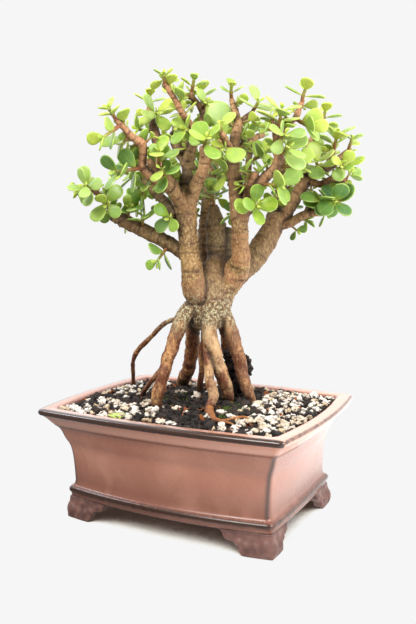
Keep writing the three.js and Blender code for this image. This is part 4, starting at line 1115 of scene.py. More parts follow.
def bark_relief(points, paths):
    """Height of the bark's rings, scars and lumps, and its painted tones, with painted shade in the
    crotches.
    """
    found = nearest_on_limbs(points, paths)
    limb, along, turn, radius, share, crotch = (
        found[key] for key in ("limb", "along", "turn", "radius", "share", "crotch"))
    names = [name for name, _ in paths]
    is_root = np.array([name in ROOTS for name in names])[limb]
    mean_radius = np.array([path[:, 3].mean() for _, path in paths])[limb]
    spacing = np.clip(mean_radius * 0.75 + 4.4, 5.8, 10.5)  # of the leaf-scar rings
    steps = along / spacing + limb * 0.37 + 0.3 * noise_at(points, 0.09, 4.0)
    steps += 0.22 * np.sin(2.4 * along / spacing + 2.1 * limb)
    number = np.floor(steps)
    off = (steps - number - 0.5) * spacing
    ringed = np.array([name != "heel" for name in names])[limb]
    on_limb = (share > 0.02) & (share < 0.97) & ringed
    groove = np.exp(-(off / 0.5) ** 2) * on_limb
    swell = np.exp(-((np.abs(off) - 1.3) / 1.1) ** 2) * on_limb
    patchy = np.clip(0.75 + 1.1 * noise_at(points, 0.13, 9.0), 0.05, 1)
    quarter = (number % 2) * math.pi / 2
    scar_turn = np.arctan2(np.sin(turn - quarter), np.cos(turn - quarter))
    across = np.minimum(np.abs(scar_turn), math.pi - np.abs(scar_turn)) * radius
    scar = np.exp(-(off / 1.1) ** 2 - (across / 1.4) ** 2) * on_limb * ~is_root
    lumps = noise_at(points, 0.15, 1.0)
    fine = noise_at(points, 0.55, 2.0)
    wrinkle = noise_at(points * (1, 1, 0.35), 0.8, 3.0)
    limb_height = 0.5 * lumps + 0.16 * fine - 0.5 * groove * patchy + 0.3 * swell + 0.5 * scar
    root_height = 0.8 * lumps + 0.25 * fine + 0.2 * wrinkle - 0.2 * groove * patchy
    height = np.where(is_root, root_height, limb_height)
    height *= np.clip(radius / 4, 0.45, 1.25)
    height -= 0.9 * crotch
    tones = np.array([BARK_TONES.get(name, (0.0, 0.0)) for name in names])
    red_end, dark_end = tones[limb].T
    piece = np.sin(number * 12.9 + limb * 78.2) * 43758.5
    piece = (piece - np.floor(piece)) * ~is_root
    red = red_end * np.clip(0.35 + 0.75 * share, 0, 1) + 0.3 * piece ** 2
    red = np.clip(red, 0, 1)
    rings = np.clip(groove * patchy * np.where(is_root, 0.4, 1.0), 0, 1)
    crown = np.exp(-((points[:, 2] - 157) / 12) ** 2)
    root = np.where(is_root, np.clip(1 - 0.8 * crown, 0, 1), 0.0)
    is_cut = np.array([name in CUT_ENDS for name in names])[limb]
    cut = np.clip((share - 0.955) / 0.02, 0, 1) * is_cut
    # Dark rings, and painted shade deep in the crotches.
    dark = np.clip(np.maximum(rings, 1.1 * crotch), 0, 1)
    return height, (red, dark_end, root), (dark, np.maximum(cut, 0.6 * scar), crown)


def bark_material(wood):
    finish = Finish("bark", roughness=0.75)
    red, dark, root = finish.attribute("bark_tone")
    ring, cut, crown = finish.attribute("bark_mark_and_shade")
    blotch = finish.noise(85.0, 5.0)
    streaks = finish.noise(150.0, 5.0, stretch=(1.0, 1.0, 0.4))
    fine = finish.noise(520.0, 4.0)
    grain = finish.noise(900.0, 3.0, stretch=(1.0, 1.0, 0.3))
    flecks = finish.noise(1300.0, 2.0)
    tan = finish.mix(finish.spread(blotch, 0.36, 0.64), wood.bark, wood.bark_dark)
    tan = finish.mix(finish.spread(fine, 0.48, 0.66, 0.0, 0.7), tan, wood.bark_pale)
    reddish = finish.mix(finish.spread(fine, 0.35, 0.7), wood.young, (140, 74, 48))
    colour = finish.mix(red, tan, reddish)
    grey = finish.mix(finish.spread(fine, 0.35, 0.65), wood.old, (118, 106, 66))
    colour = finish.mix(dark, colour, grey)
    # Painted light: the higher limbs lightened towards pale tan.
    high = finish.spread(finish.height(), 0.215, 0.26, 0.0, 0.35)
    colour = finish.mix(high, colour, (226, 176, 128))
    rust = finish.mix(finish.spread(streaks, 0.48, 0.66), wood.root, wood.root_pale)
    rust = finish.mix(finish.spread(fine, 0.5, 0.64, 0.0, 0.75), rust, (74, 38, 18))
    cream = finish.sums("MULTIPLY", dark, finish.spread(blotch, 0.44, 0.56))
    rust = finish.mix(cream, rust, (206, 170, 126))
    colour = finish.mix(root, colour, rust)
    lichen = finish.sums("MULTIPLY", crown, finish.spread(fine, 0.46, 0.56, 0.0, 0.95))
    colour = finish.mix(lichen, colour, (206, 196, 156))
    pits = finish.sums("MULTIPLY", crown, finish.spread(flecks, 0.46, 0.58, 0.0, 0.8))
    colour = finish.mix(pits, colour, (58, 42, 26))
    colour = finish.mix(finish.spread(grain, 0.5, 0.68, 0.0, 0.4), colour, (70, 44, 24))
    colour = finish.mix(finish.spread(grain, 0.5, 0.32, 0.0, 0.22), colour, (216, 188, 138))
    colour = finish.mix(finish.spread(flecks, 0.6, 0.78, 0.0, 0.45), colour, (54, 36, 20))
    # Dark rings, and painted shade in the crotches.
    colour = finish.mix(finish.sums("MULTIPLY", ring, 0.8), colour, (48, 28, 15))
    colour = finish.mix(cut, colour, (84, 46, 28))
    # Painted shade in hollows, from ambient occlusion.
    colour = finish.mix(finish.crevice_shade(16 * MM, 0.25), (36, 20, 10), colour)
    finish.set(Base_Color=colour, Roughness=finish.spread(fine, 0.3, 0.7, 0.55, 0.8))
    relief = finish.sums("ADD", fine, finish.sums("MULTIPLY", grain, 0.8))
    finish.bump(finish.sums("ADD", relief, finish.sums("MULTIPLY", flecks, 0.5)), 0.6, 0.9)
    return finish.material


# Leaves


def dice(seed):
    """The seeded row of numbers from 0 to 1 that lays the leaves."""
    state = seed & 0xFFFFFFFF

    def roll():
        nonlocal state
        state = (state * 1664525 + 1013904223) & 0xFFFFFFFF
        return state / 4294967296

    return roll


def plant_twig(name, index, entry):
    """A twig from where it is clear of every limb."""
    start, tip, pairs, first, last, turn, splay = entry
    base = np.array(start, float)
    axis = np.array(tip, float) - base
    given = np.linalg.norm(axis)
    axis = axis / given
    cut = 0.0
    while cut < 30 and clearances(base + axis * cut, BONES)[0] <= TWIG_RADIUS + TWIG_CLEARANCE:
        cut += 0.25
    length = max(given, cut + 2.4 + 3.2 * (pairs - 1))
    return {
        "name": name, "index": index, "base": base, "axis": axis, "cut": cut, "length": length,
        "pairs": pairs, "first": first, "last": last, "turn": turn, "splay": splay, "leaves": []}


def turned(vector, axis, angle):
    cos, sin = math.cos(angle), math.sin(angle)
    return vector * cos + np.cross(axis, vector) * sin + axis * (axis @ vector) * (1 - cos)


def lay_leaf(twig, level, rise, along, turn, splay, size, twist):
    """Where one leaf lies: its foot, its direction and its face."""
    foot = twig["base"] + twig["axis"] * along
    out = level * math.cos(turn) + rise * math.sin(turn)
    way = unit(out * math.sin(splay) + twig["axis"] * math.cos(splay))
    face = unit(twig["axis"] - way * (twig["axis"] @ way))
    foot = foot + out * FOOT_OUT
    light = unit(foot - CROWN_MIDDLE)
    light[2] += 0.5
    light = light - way * (light @ way)
    if np.linalg.norm(light) > 0.2:
        face = face + unit(light) * 0.8
    face = unit(turned(face, way, twist))
    across = unit(np.cross(way, face))
    return {"foot": foot, "way": way, "face": face, "across": across, "size": size}


def spots_of(leaf):
    size = leaf["size"]
    steps = TEST_SPOTS * size
    return leaf["foot"] + steps[:, :1] * leaf["way"] + steps[:, 1:] * leaf["across"]


def twig_frame(axis):
    up = np.array((0.47, -0.88, 0.0)) if abs(axis[2]) > 0.85 else np.array((0.0, 0.0, 1.0))
    level = unit(np.cross(up, axis))
    return level, np.cross(axis, level)


def grow_leaves():
    """Crossed pairs of leaves; one that would touch wood or another twig's is retried."""
    twigs = [plant_twig(name, i, entry) for i, (name, entry) in enumerate(TWIGS.items())]
    starts = np.array([t["base"] + t["axis"] * t["cut"] for t in twigs])
    ends = np.array([t["base"] + t["axis"] * (t["length"] + 0.6) for t in twigs])
    placed, owners = [], []
    for twig in twigs:
        roll = dice(977 + 131 * twig["index"])
        level, rise = twig_frame(twig["axis"])
        others = np.arange(len(twigs)) != twig["index"]
        radii = np.full(others.sum(), TWIG_RADIUS)
        bones = tuple(
            np.concatenate(pair)
            for pair in zip(BONES, (starts[others], ends[others], radii, radii)))
        first_at = min(twig["cut"] + 1, twig["length"] - 0.5)
        last_at = twig["length"] - 0.5
        for pair in range(twig["pairs"]):
            t = pair / (twig["pairs"] - 1) if twig["pairs"] > 1 else 1
            along = first_at * (1 - t) + last_at * t
            share = t if twig["pairs"] > 1 else 0
            size = twig["first"] * (1 - share) + twig["last"] * share
            for half in (0, 1):
                length = twig["last"] if twig["pairs"] == 1 and half == 1 else size
                turn = math.radians(twig["turn"] + 90 * pair + 180 * half)
                for tries in range(7):
                    loose = tries * 0.14
                    a = turn + (roll() - 0.5) * (0.2 + loose)
                    lean = twig["splay"] + (roll() - 0.5) * (10 + 9 * tries) - 12 * t
                    long = length * (1 + (roll() - 0.5) * 0.12 - 0.05 * tries)
                    twist = (roll() - 0.5) * (0.5 + loose)
                    leaf = lay_leaf(
                        twig, level, rise, along, a, math.radians(lean), long, twist)
                    spots = spots_of(leaf)
                    if clearances(spots, bones).min() <= LEAF_TO_WOOD:
                        continue
                    if placed:
                        others_at = np.concatenate(
                            [p for p, o in zip(placed, owners) if o != twig["index"]] or [
                                np.full((1, 3), 1e6)])
                        gaps = np.linalg.norm(others_at[:, None] - spots[None], axis=2)
                        if gaps.min() <= LEAF_SPACING:
                            continue
                    leaf["pair"] = t
                    leaf["along"] = along
                    twig["leaves"].append(leaf)
                    placed.append(spots)
                    owners.append(twig["index"])
                    break
    return twigs


def show_big_leaf(twigs):
    """Turns the biggest leaf of the crown flat towards the front right."""
    leaf = next(t for t in twigs if t["name"] == "heroTwig")["leaves"][0]
    way = leaf["way"]
    leaf["face"] = unit(BIG_LEAF_FACES - way * (way @ BIG_LEAF_FACES))
    leaf["across"] = unit(np.cross(way, leaf["face"]))


def young_shoots(twigs):
    """Small pairs of leaves along the finer limbs, wherever they clear the rest."""
    taken = np.concatenate([spots_of(leaf) for twig in twigs for leaf in twig["leaves"]])
    shoots = []
    for number, (name, points) in enumerate(LIMBS.items()):
        roll = random.Random(300 + number)
        path = smooth_path(points, 5)
        walked, next_at = 0.0, roll.uniform(1, 4)
        for a, b in zip(path, path[1:]):
            walked += np.linalg.norm(b[:3] - a[:3])
            if walked < next_at or b[3] > SHOOT_ON or b[2] < SHOOT_FROM:
                continue
            next_at = walked + roll.uniform(*SHOOT_GAPS)
            along = unit(b[:3] - a[:3])
            for _ in range(14):
                level, rise = twig_frame(along)
                turn = roll.uniform(0, 2 * math.pi)
                out = level * math.cos(turn) + rise * math.sin(turn)
                axis = unit(out + along * roll.uniform(0.1, 0.8) + np.array((0, 0, 0.25)))
                if axis @ TO_VIEWER > SHOOT_FACES:
                    continue
                length = b[3] + roll.uniform(1.6, 5.0)
                pairs = roll.choice((1, 1, 2))
                shoot = {
                    "name": name, "base": b[:3], "axis": axis, "stem": SHOOT_STEM,
                    "length": length + SHOOT_STEP * (pairs - 1), "pairs": pairs,
                    "turn": roll.uniform(0, 180), "leaves": [], "seed": 900 + len(shoots)}
                size = roll.uniform(*SHOOT_LEAVES)
                side, up = twig_frame(axis)
                for pair in range(pairs):
                    for half in (0, 1):
                        angle = math.radians(shoot["turn"] + 90 * pair + 180 * half)
                        leaf = lay_leaf(
                            shoot, side, up, length + SHOOT_STEP * pair - 0.5,
                            angle + roll.uniform(-0.3, 0.3), math.radians(roll.uniform(44, 78)),
                            size * (1 - 0.25 * pair) * roll.uniform(0.85, 1.1),
                            roll.uniform(-0.6, 0.6))
                        spots = spots_of(leaf)
                        if clearances(spots, BONES).min() < 0.9:
                            continue
                        gaps = np.linalg.norm(taken[:, None] - spots[None], axis=2)
                        if gaps.min() < SHOOT_SPACING:
                            continue
                        leaf["pair"] = 1.0
                        leaf["along"] = length + SHOOT_STEP * pair
                        shoot["leaves"].append(leaf)
                if len(shoot["leaves"]) >= min(2, pairs):
                    shoots.append(shoot)
                    taken = np.concatenate([taken, *map(spots_of, shoot["leaves"])])
                    break
    return shoots


def leaf_half_width(share, slim):
    """Half-width of a leaf at a share of its length: widest beyond the middle."""
    peak = slim / (slim + 0.5)
    top = peak ** slim * (1 - peak) ** 0.5
    return share ** slim * (1 - share) ** 0.5 / top


def leaf_ball():
    """A ball of radius 1, which each leaf is a copy of."""
    bm = bmesh.new()
    bmesh.ops.create_uvsphere(bm, u_segments=LEAF_ROUND, v_segments=LEAF_RINGS, radius=1.0)
    return mesh_of(bm, "leaf_ball")


def leafy_kit(ball):
    """An empty bmesh with the two layers that the leaf material reads, and the ball."""
    bm = bmesh.new()
    for name in ("leaf_place", "leaf_tone"):
        bm.verts.layers.float_color.new(name)
    layers = bm.verts.layers.float_color
    return bm, layers["leaf_place"], layers["leaf_tone"], ball


def leaf_into(kit, leaf, roll, tone, pale, broad, thick=2.3):
    """One fleshy leaf: the ball drawn out to the leaf's outline, thick and blunt-edged."""
    bm, place_layer, tone_layer, ball = kit
    made = copy_into(bm, ball)
    size = leaf["size"]
    foot, way, face, across = (leaf[key] for key in ("foot", "way", "face", "across"))
    slim = 0.92 + 0.2 * roll.random() - (0.3 if broad > 0.42 else 0)
    cup = roll.uniform(-0.05, 0.35)
    droop = roll.uniform(0.0, 0.22)
    wave = roll.uniform(-0.08, 0.08)
    chance = roll.random()
    thick = min(thick, 0.7 + 0.075 * size)
    for v in made:
        x, y, z = v.co
        ring = math.hypot(x, y)
        turn = math.atan2(y, x)
        share = 0.5 + 0.5 * math.cos(turn)
        side = math.copysign(leaf_half_width(share, slim), math.sin(turn)) * broad
        reach = min(ring, 1.0) ** 0.9
        a = 0.56 + (share - 0.56) * reach
        c = side * reach
        lift = thick / 2 * math.copysign(abs(z) ** 0.75, z)
        lift *= 0.55 + 0.45 * min(1.0, a / 0.35)
        bend = size * (cup * c * c - droop * max(0.0, a - 0.25) ** 2 + wave * c * a)
        p = foot + way * (a * size) + across * (c * size) + face * (lift + bend)
        v.co = Vector(p)
        v[place_layer] = (a, 0.5 + c, ring, 1.0)
        v[tone_layer] = (tone, pale, chance, 1.0)


def leaf_tone(twig, leaf, roll):
    """Lime at the young tips; lighter and paler on top and further out, deeper green low and inside,
    as painted light and shade.
    """
    base = TWIG_TONES.get(twig["name"])
    # Painted light and shade: higher and outer leaves are limier, higher ones paler too, and low inner
    # ones deeper green.
    height = (leaf["foot"][2] - 230) / 90
    outward = np.linalg.norm((leaf["foot"] - CROWN_MIDDLE)[:2]) / 90
    tone = 0.72 - 0.38 * height - 0.15 * outward - 0.14 * leaf["pair"]
    pale = 0.06 + 0.26 * roll.random() + 0.2 * max(height, 0)
    if base:
        tone = 0.3 * tone + 0.7 * base[0]
        pale = base[1]
    tone += roll.uniform(-0.24, 0.24)
    return min(max(tone, 0.0), 1.0), min(max(pale + roll.uniform(-0.1, 0.1), 0.0), 1.0)


def tip_leaflets(twig, roll):
    """Tiny folded leaves at the growing tip."""
    level, rise = twig_frame(twig["axis"])
    made = []
    turn = math.radians(twig["turn"] + 90 * twig["pairs"])
    for half in (0, 1):
        size = roll.uniform(3.6, 5.6)
        leaf = lay_leaf(
            twig, level, rise, twig["length"] + 0.3, turn + math.pi * half,
            math.radians(roll.uniform(22, 44)), size, roll.uniform(-0.3, 0.3))
        leaf["pair"] = 1.4
        made.append(leaf)
    return made


def spray_into(kit, twig, roll):
    """A twig and its leaves, with their colour layers."""
    bm, place_layer, tone_layer, _ = kit
    base, axis = twig["base"], twig["axis"]
    side, _ = twig_frame(axis)
    bow = roll.uniform(-0.5, 0.5)
    path = []
    nodes = sorted({round(leaf["along"], 2) for leaf in twig["leaves"]})
    for i in range(9):
        t = i / 8
        along = (twig["length"] + 0.5) * t
        p = base + axis * along + side * bow * math.sin(math.pi * t)
        swell = sum(0.28 * math.exp(-((along - n) / 0.7) ** 2) for n in nodes)
        path.append((*p, (1.45 - 0.42 * t + swell) * twig.get("stem", 1.0)))
    before = len(bm.faces)
    stem = tube_into(bm, path, 8)
    bm.faces.ensure_lookup_table()
    for face in bm.faces[before:]:
        face.material_index = 1
    for v in stem:
        along = (np.array(v.co) - base) @ axis
        v[place_layer] = (along / twig["length"], 0.5, 0.0, 1.0)
        v[tone_layer] = (0.5, 0.0, roll.random(), 1.0)
    for leaf in twig["leaves"]:
        tone, pale = leaf_tone(twig, leaf, roll)
        leaf_into(kit, leaf, roll, tone, pale, BROAD if twig["name"] in BROAD_LEAVED else SLENDER)
    for leaf in tip_leaflets(twig, roll):
        leaf_into(kit, leaf, roll, 0.08 + 0.1 * roll.random(), 0.3, 0.33, 1.2)


def leaf_material(leaves):
    finish = Finish("leaf", roughness=0.36)
    along, across, rim = finish.attribute("leaf_place")
    tone, pale, _ = finish.attribute("leaf_tone")
    mottle = finish.noise(260.0, 3.0)
    shade = finish.sums("ADD", tone, finish.spread(mottle, 0.3, 0.7, -0.08, 0.08))
    grown = finish.ramp(shade, [
        (0.0, srgb(*leaves.lime)), (0.36, srgb(*leaves.fresh)), (0.66, srgb(*leaves.green)),
        (1.0, srgb(*leaves.deep))])
    colour = finish.mix(pale, grown, leaves.mint)
    base_pale = finish.spread(along, 0.0, 0.4, 0.45, 0.0)
    colour = finish.mix(base_pale, colour, leaves.lime)
    edge = finish.spread(rim, 0.86, 1.0, 0.0, 0.55)
    colour = finish.mix(edge, colour, leaves.edge)
    off_rib = finish.sums("ABSOLUTE", finish.sums("SUBTRACT", across, 0.5), 0.0)
    rib = finish.spread(off_rib, 0.0, 0.03, 0.22, 0.0)
    colour = finish.mix(rib, colour, leaves.mint)
    speck = finish.spread(finish.noise(1500.0, 2.0), 0.6, 0.75, 0.0, 0.2)
    colour = finish.mix(speck, colour, (215, 235, 150))
    finish.set(
        Base_Color=colour, Subsurface_Weight=0.25, Subsurface_Scale=0.002,
        Subsurface_Radius=(0.6, 1.0, 0.2), Specular_IOR_Level=0.3, Coat_Weight=0.08,
        Coat_Roughness=0.25)
    dimples = finish.sums("ADD", finish.noise(700.0, 2.0), finish.sums("MULTIPLY", rib, -2.0))
    finish.bump(dimples, 0.12, 0.5)
    return finish.material


def stem_material(leaves):
    finish = Finish("young_stem", roughness=0.5)
    along, _, _ = finish.attribute("leaf_place")
    fine = finish.noise(600.0, 3.0)
    colour = finish.mix(finish.spread(along, 0.25, 0.95), leaves.stem, leaves.stem_tip)
    colour = finish.mix(finish.spread(fine, 0.45, 0.7, 0.0, 0.5), colour, (110, 74, 46))
    finish.set(Base_Color=colour)
    finish.bump(fine, 0.2, 0.5)
    return finish.material


# Settings


def colour_setting(name, description, default):
    return bpy.props.FloatVectorProperty(
        name=name, description=description, default=default, size=3, min=0, max=255)


class PotSettings(bpy.types.PropertyGroup):
    glaze: colour_setting("Glaze", "Glaze on the walls, sRGB 0 to 255", (190, 133, 111))
    glaze_dark: colour_setting("Glaze, thick", "Glaze where it lies thick", (172, 114, 94))
    # Also the colour of the painted shade on the ledge, the inner wall and under the band.
    glaze_low_and_shade: colour_setting("Glaze, low", "Glaze at the foot of the walls", (132, 87, 72))
    # Also the colour of the painted light on the band under the rim.
    glaze_bloom_and_light: colour_setting("Glaze bloom", "Pale clouds in the glaze", (222, 164, 142))
    edge: colour_setting("Glaze at edges", "Glaze where it breaks on an edge", (58, 36, 26))
    arris: colour_setting("Arris", "Glaze on the upright corners", (62, 52, 48))
    clay: colour_setting("Clay", "Bare clay of the feet", (126, 88, 78))
    clay_dark: colour_setting("Clay, dark", "Dark patches of the bare clay", (92, 62, 55))


class SoilSettings(bpy.types.PropertyGroup):
    pumice: colour_setting("Pumice", "Whitest grit", (246, 240, 230))
    pumice_cream: colour_setting("Pumice, cream", "Stained grit", (214, 188, 150))
    grit_count: bpy.props.IntProperty(
        name="Pumice grains", description="Pale grains on the surface", default=255, min=0)
    lava_count: bpy.props.IntProperty(
        name="Lava grains", description="Black grains on the surface", default=740, min=0)
    crumb_count: bpy.props.IntProperty(
        name="Crumbs", description="Small dark crumbs of peat", default=2600, min=0)


class WoodSettings(bpy.types.PropertyGroup):
    voxel: bpy.props.FloatProperty(
        name="Skin detail", description="Width of a face of the bark", default=0.00098,
        min=0.0005, max=0.004, unit="LENGTH", precision=5)
    bark: colour_setting("Bark", "Bark of the limbs", (150, 113, 64))
    bark_dark: colour_setting("Bark, dark", "Dark patches of the bark", (106, 74, 40))
    bark_pale: colour_setting("Bark, pale", "Pale flecks of the bark", (196, 167, 114))
    old: colour_setting("Old bark", "Grey bark of the oldest stubs", (76, 62, 36))
    young: colour_setting("Young bark", "Red bark of the young limbs", (196, 126, 88))
    root: colour_setting("Root", "Bark of the roots", (112, 54, 22))
    root_pale: colour_setting("Root, pale", "Pale patches of the roots", (196, 142, 88))


class LeafSettings(bpy.types.PropertyGroup):
    lime: colour_setting("Lime", "Youngest leaves", (200, 206, 70))
    fresh: colour_setting("Fresh green", "Young leaves", (136, 168, 38))
    green: colour_setting("Green", "Grown leaves", (84, 130, 32))
    deep: colour_setting("Deep green", "Oldest leaves", (46, 98, 46))
    mint: colour_setting("Mint", "Leaves with a pale bloom", (174, 196, 122))
    edge: colour_setting("Leaf edge", "Thin edge of a leaf", (206, 222, 120))
    stem: colour_setting("Twig", "Twig where it leaves the bark", (150, 92, 62))
    stem_tip: colour_setting("Twig tip", "Growing end of a twig", (158, 164, 74))


class StageSettings(bpy.types.PropertyGroup):
    backdrop: bpy.props.FloatProperty(
        name="Backdrop", description="Brightness of the plain background", default=0.9216,
        min=0, max=4)
    front_light: bpy.props.FloatProperty(
        name="Front light", description="Light from the front of the backdrop", default=0.4,
        min=0, max=10)
    back_light: bpy.props.FloatProperty(
        name="Back light", description="Light from the back of the backdrop", default=2.05,
        min=0, max=10)


GROUPS = {
    "bonsai_pot": PotSettings,
    "bonsai_soil": SoilSettings,
    "bonsai_wood": WoodSettings,
    "bonsai_leaves": LeafSettings,
    "bonsai_stage": StageSettings,
}

# Camera, worked out from the pot's corners: focal length in pixels of the 416 x 624 image.
CAMERA_AT = (262.0, -476.2, 217.4)
CAMERA_TURN = 28.206
CAMERA_PITCH = 6.524
CAMERA_ROLL = -0.866
FOCAL_PIXELS = 720.8
IMAGE_HEIGHT = 624.0
SENSOR = 36.0


class BONSAI_OT_stage(bpy.types.Operator):
    """Set up the camera, the floor with its painted shadow, and the soft lights"""

    bl_idname = "bonsai.stage"
    bl_label = "Stage"

    def execute(self, context):
        scene = context.scene
        settings = scene.bonsai_stage
        scene.view_settings.view_transform = "Standard"
        self.camera(scene)
        self.floor(settings.backdrop)
        self.world(scene, settings)
        self.area("key", (-60, -700, 760), 420, 8.6, (0, 0, 140), (1.0, 0.985, 0.96))
        self.area("side", (720, -120, 620), 420, 6.0, (0, 0, 150), (1.0, 0.99, 0.97))
        self.area("left", (-560, -230, 590), 240, 1.8, (-60, -40, 80), (0.84, 0.91, 1.0))
        return {"FINISHED"}

    def camera(self, scene):
        turn, pitch, roll = map(math.radians, (CAMERA_TURN, CAMERA_PITCH, CAMERA_ROLL))
        back = Vector((
            math.sin(turn) * math.cos(pitch), -math.cos(turn) * math.cos(pitch), math.sin(pitch)))
        right = Vector((math.cos(turn), math.sin(turn), 0))
        up = back.cross(right)
        rolled_right = right * math.cos(roll) + up * math.sin(roll)
        rolled_up = up * math.cos(roll) - right * math.sin(roll)
        data = bpy.data.cameras.new("camera")
        data.sensor_width = SENSOR
        data.lens = FOCAL_PIXELS * SENSOR / IMAGE_HEIGHT
        data.clip_start = 0.01
        camera = bpy.data.objects.new("camera", data)
        turn_matrix = Matrix((rolled_right, rolled_up, back)).transposed().to_4x4()
        camera.matrix_world = Matrix.Translation(Vector(CAMERA_AT) * MM) @ turn_matrix
        scene.collection.objects.link(camera)
        scene.camera = camera

    def floor(self, level):
        bm = bmesh.new()
        bmesh.ops.create_grid(bm, x_segments=8, y_segments=8, size=3.0)
        mesh = mesh_of(bm, "floor")
        mesh.materials.append(floor_material(level))
        floor = bpy.data.objects.new("floor", mesh)
        bpy.context.scene.collection.objects.link(floor)

    def world(self, scene, settings):
        """A plain pale backdrop that lights the plant softly from all round."""
        world = bpy.data.worlds.new("backdrop")
        scene.world = world
        world.use_nodes = True
        nodes, links = world.node_tree.nodes, world.node_tree.links
        seen = nodes["Background"]
        level = settings.backdrop
        seen.inputs["Color"].default_value = (level, level, level, 1.0)
        lighting = nodes.new("ShaderNodeBackground")
        way = nodes.new("ShaderNodeTexCoord")
        split = nodes.new("ShaderNodeSeparateXYZ")
        links.new(way.outputs["Generated"], split.inputs[0])
        ramp = nodes.new("ShaderNodeMapRange")
        ramp.interpolation_type = "SMOOTHSTEP"
        for key, value in (("From Min", -0.5), ("From Max", 0.75),
                           ("To Min", settings.front_light), ("To Max", settings.back_light)):
            ramp.inputs[key].default_value = value
        links.new(split.outputs["Y"], ramp.inputs["Value"])
        links.new(ramp.outputs["Result"], lighting.inputs["Strength"])
        ray = nodes.new("ShaderNodeLightPath")
        mix = nodes.new("ShaderNodeMixShader")
        links.new(ray.outputs["Is Camera Ray"], mix.inputs["Fac"])
        links.new(lighting.outputs[0], mix.inputs[1])
        links.new(seen.outputs[0], mix.inputs[2])
        links.new(mix.outputs[0], nodes["World Output"].inputs["Surface"])

    def area(self, name, place, size, watts, target, colour):
        data = bpy.data.lights.new(name, "AREA")
        data.shape = "SQUARE"
        data.size = size * MM
        data.energy = watts
        data.color = colour
        light = bpy.data.objects.new(name, data)
        light.location = Vector(place) * MM
        away = Vector(place) - Vector(target)
        light.rotation_mode = "QUATERNION"
        light.rotation_quaternion = away.to_track_quat("Z", "Y")
        light.visible_camera = False
        bpy.context.scene.collection.objects.link(light)


class BONSAI_OT_pot(bpy.types.Operator):
    """Throw the glazed pot body and its four carved feet"""

    bl_idname = "bonsai.pot"
    bl_label = "Pot"

    def execute(self, context):
        settings = context.scene.bonsai_pot
        curves = [BASE_ROLL, WALL, LIP_COVE, LIP_BAND, RIM_ROLL]
        profile = [*UNDERSIDE, *BASE_BAND]
        for curve in curves:
            fine = smooth_path([(a, b, 0) for a, b in curve], 2)
            profile += [(a, b) for a, b, _ in fine]
        profile += RIM_LEDGE + INNER_WALL
        mesh = mesh_of(squared_spin(profile, FLOOR_REACH), "pot_body")
        drills = bmesh.new()
        for x in (-DRAIN_X, DRAIN_X):
            place = Matrix.Translation((x, 0, FLOOR_TOP - 4))
            bmesh.ops.create_cone(
                drills, cap_ends=True, segments=32, radius1=DRAIN_RADIUS,
                radius2=DRAIN_RADIUS, depth=20, matrix=place)
        cutter = bpy.data.objects.new("drills", mesh_of(drills, "drills"))
        context.scene.collection.objects.link(cutter)
        body = applied(mesh, ("BOOLEAN", {
            "operation": "DIFFERENCE", "object": cutter, "solver": "EXACT"}))
        bpy.data.objects.remove(cutter)
        paint(body, "glaze_break_and_shade", *glaze_breaks_and_shade(read_points(body)))
        glaze = glaze_material(settings)
        finish_piece("pot_body", body, [glaze], replaces=["pot"])
        feet = feet_mesh()
        z = read_points(feet)[:, 2]
        # Painted shade where the feet meet the underside of the pot.
        foot_top_shade = np.clip(1 - np.abs(z - FOOT_HEIGHT) / 2.4, 0, 1) * 0.6
        paint(feet, "foot_top_shade", foot_top_shade, foot_top_shade, foot_top_shade)
        finish_piece("pot_feet", feet, [clay_material(settings)], replaces=["pot"])
        return {"FINISHED"}


class BONSAI_OT_drain_screen(bpy.types.Operator):
    """Give the plastic net over the drain holes its finish"""

    bl_idname = "bonsai.drain_screen"
    bl_label = "Drain screen"

    def execute(self, context):
        finish = Finish("plastic_net", roughness=0.55)
        fine = finish.noise(400.0, 2.0)
        finish.set(Base_Color=finish.mix(fine, (20, 22, 20), (38, 40, 36)))
        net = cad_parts["drain_screen"]
        net.data.materials.clear()
        net.data.materials.append(finish.material)
        return {"FINISHED"}


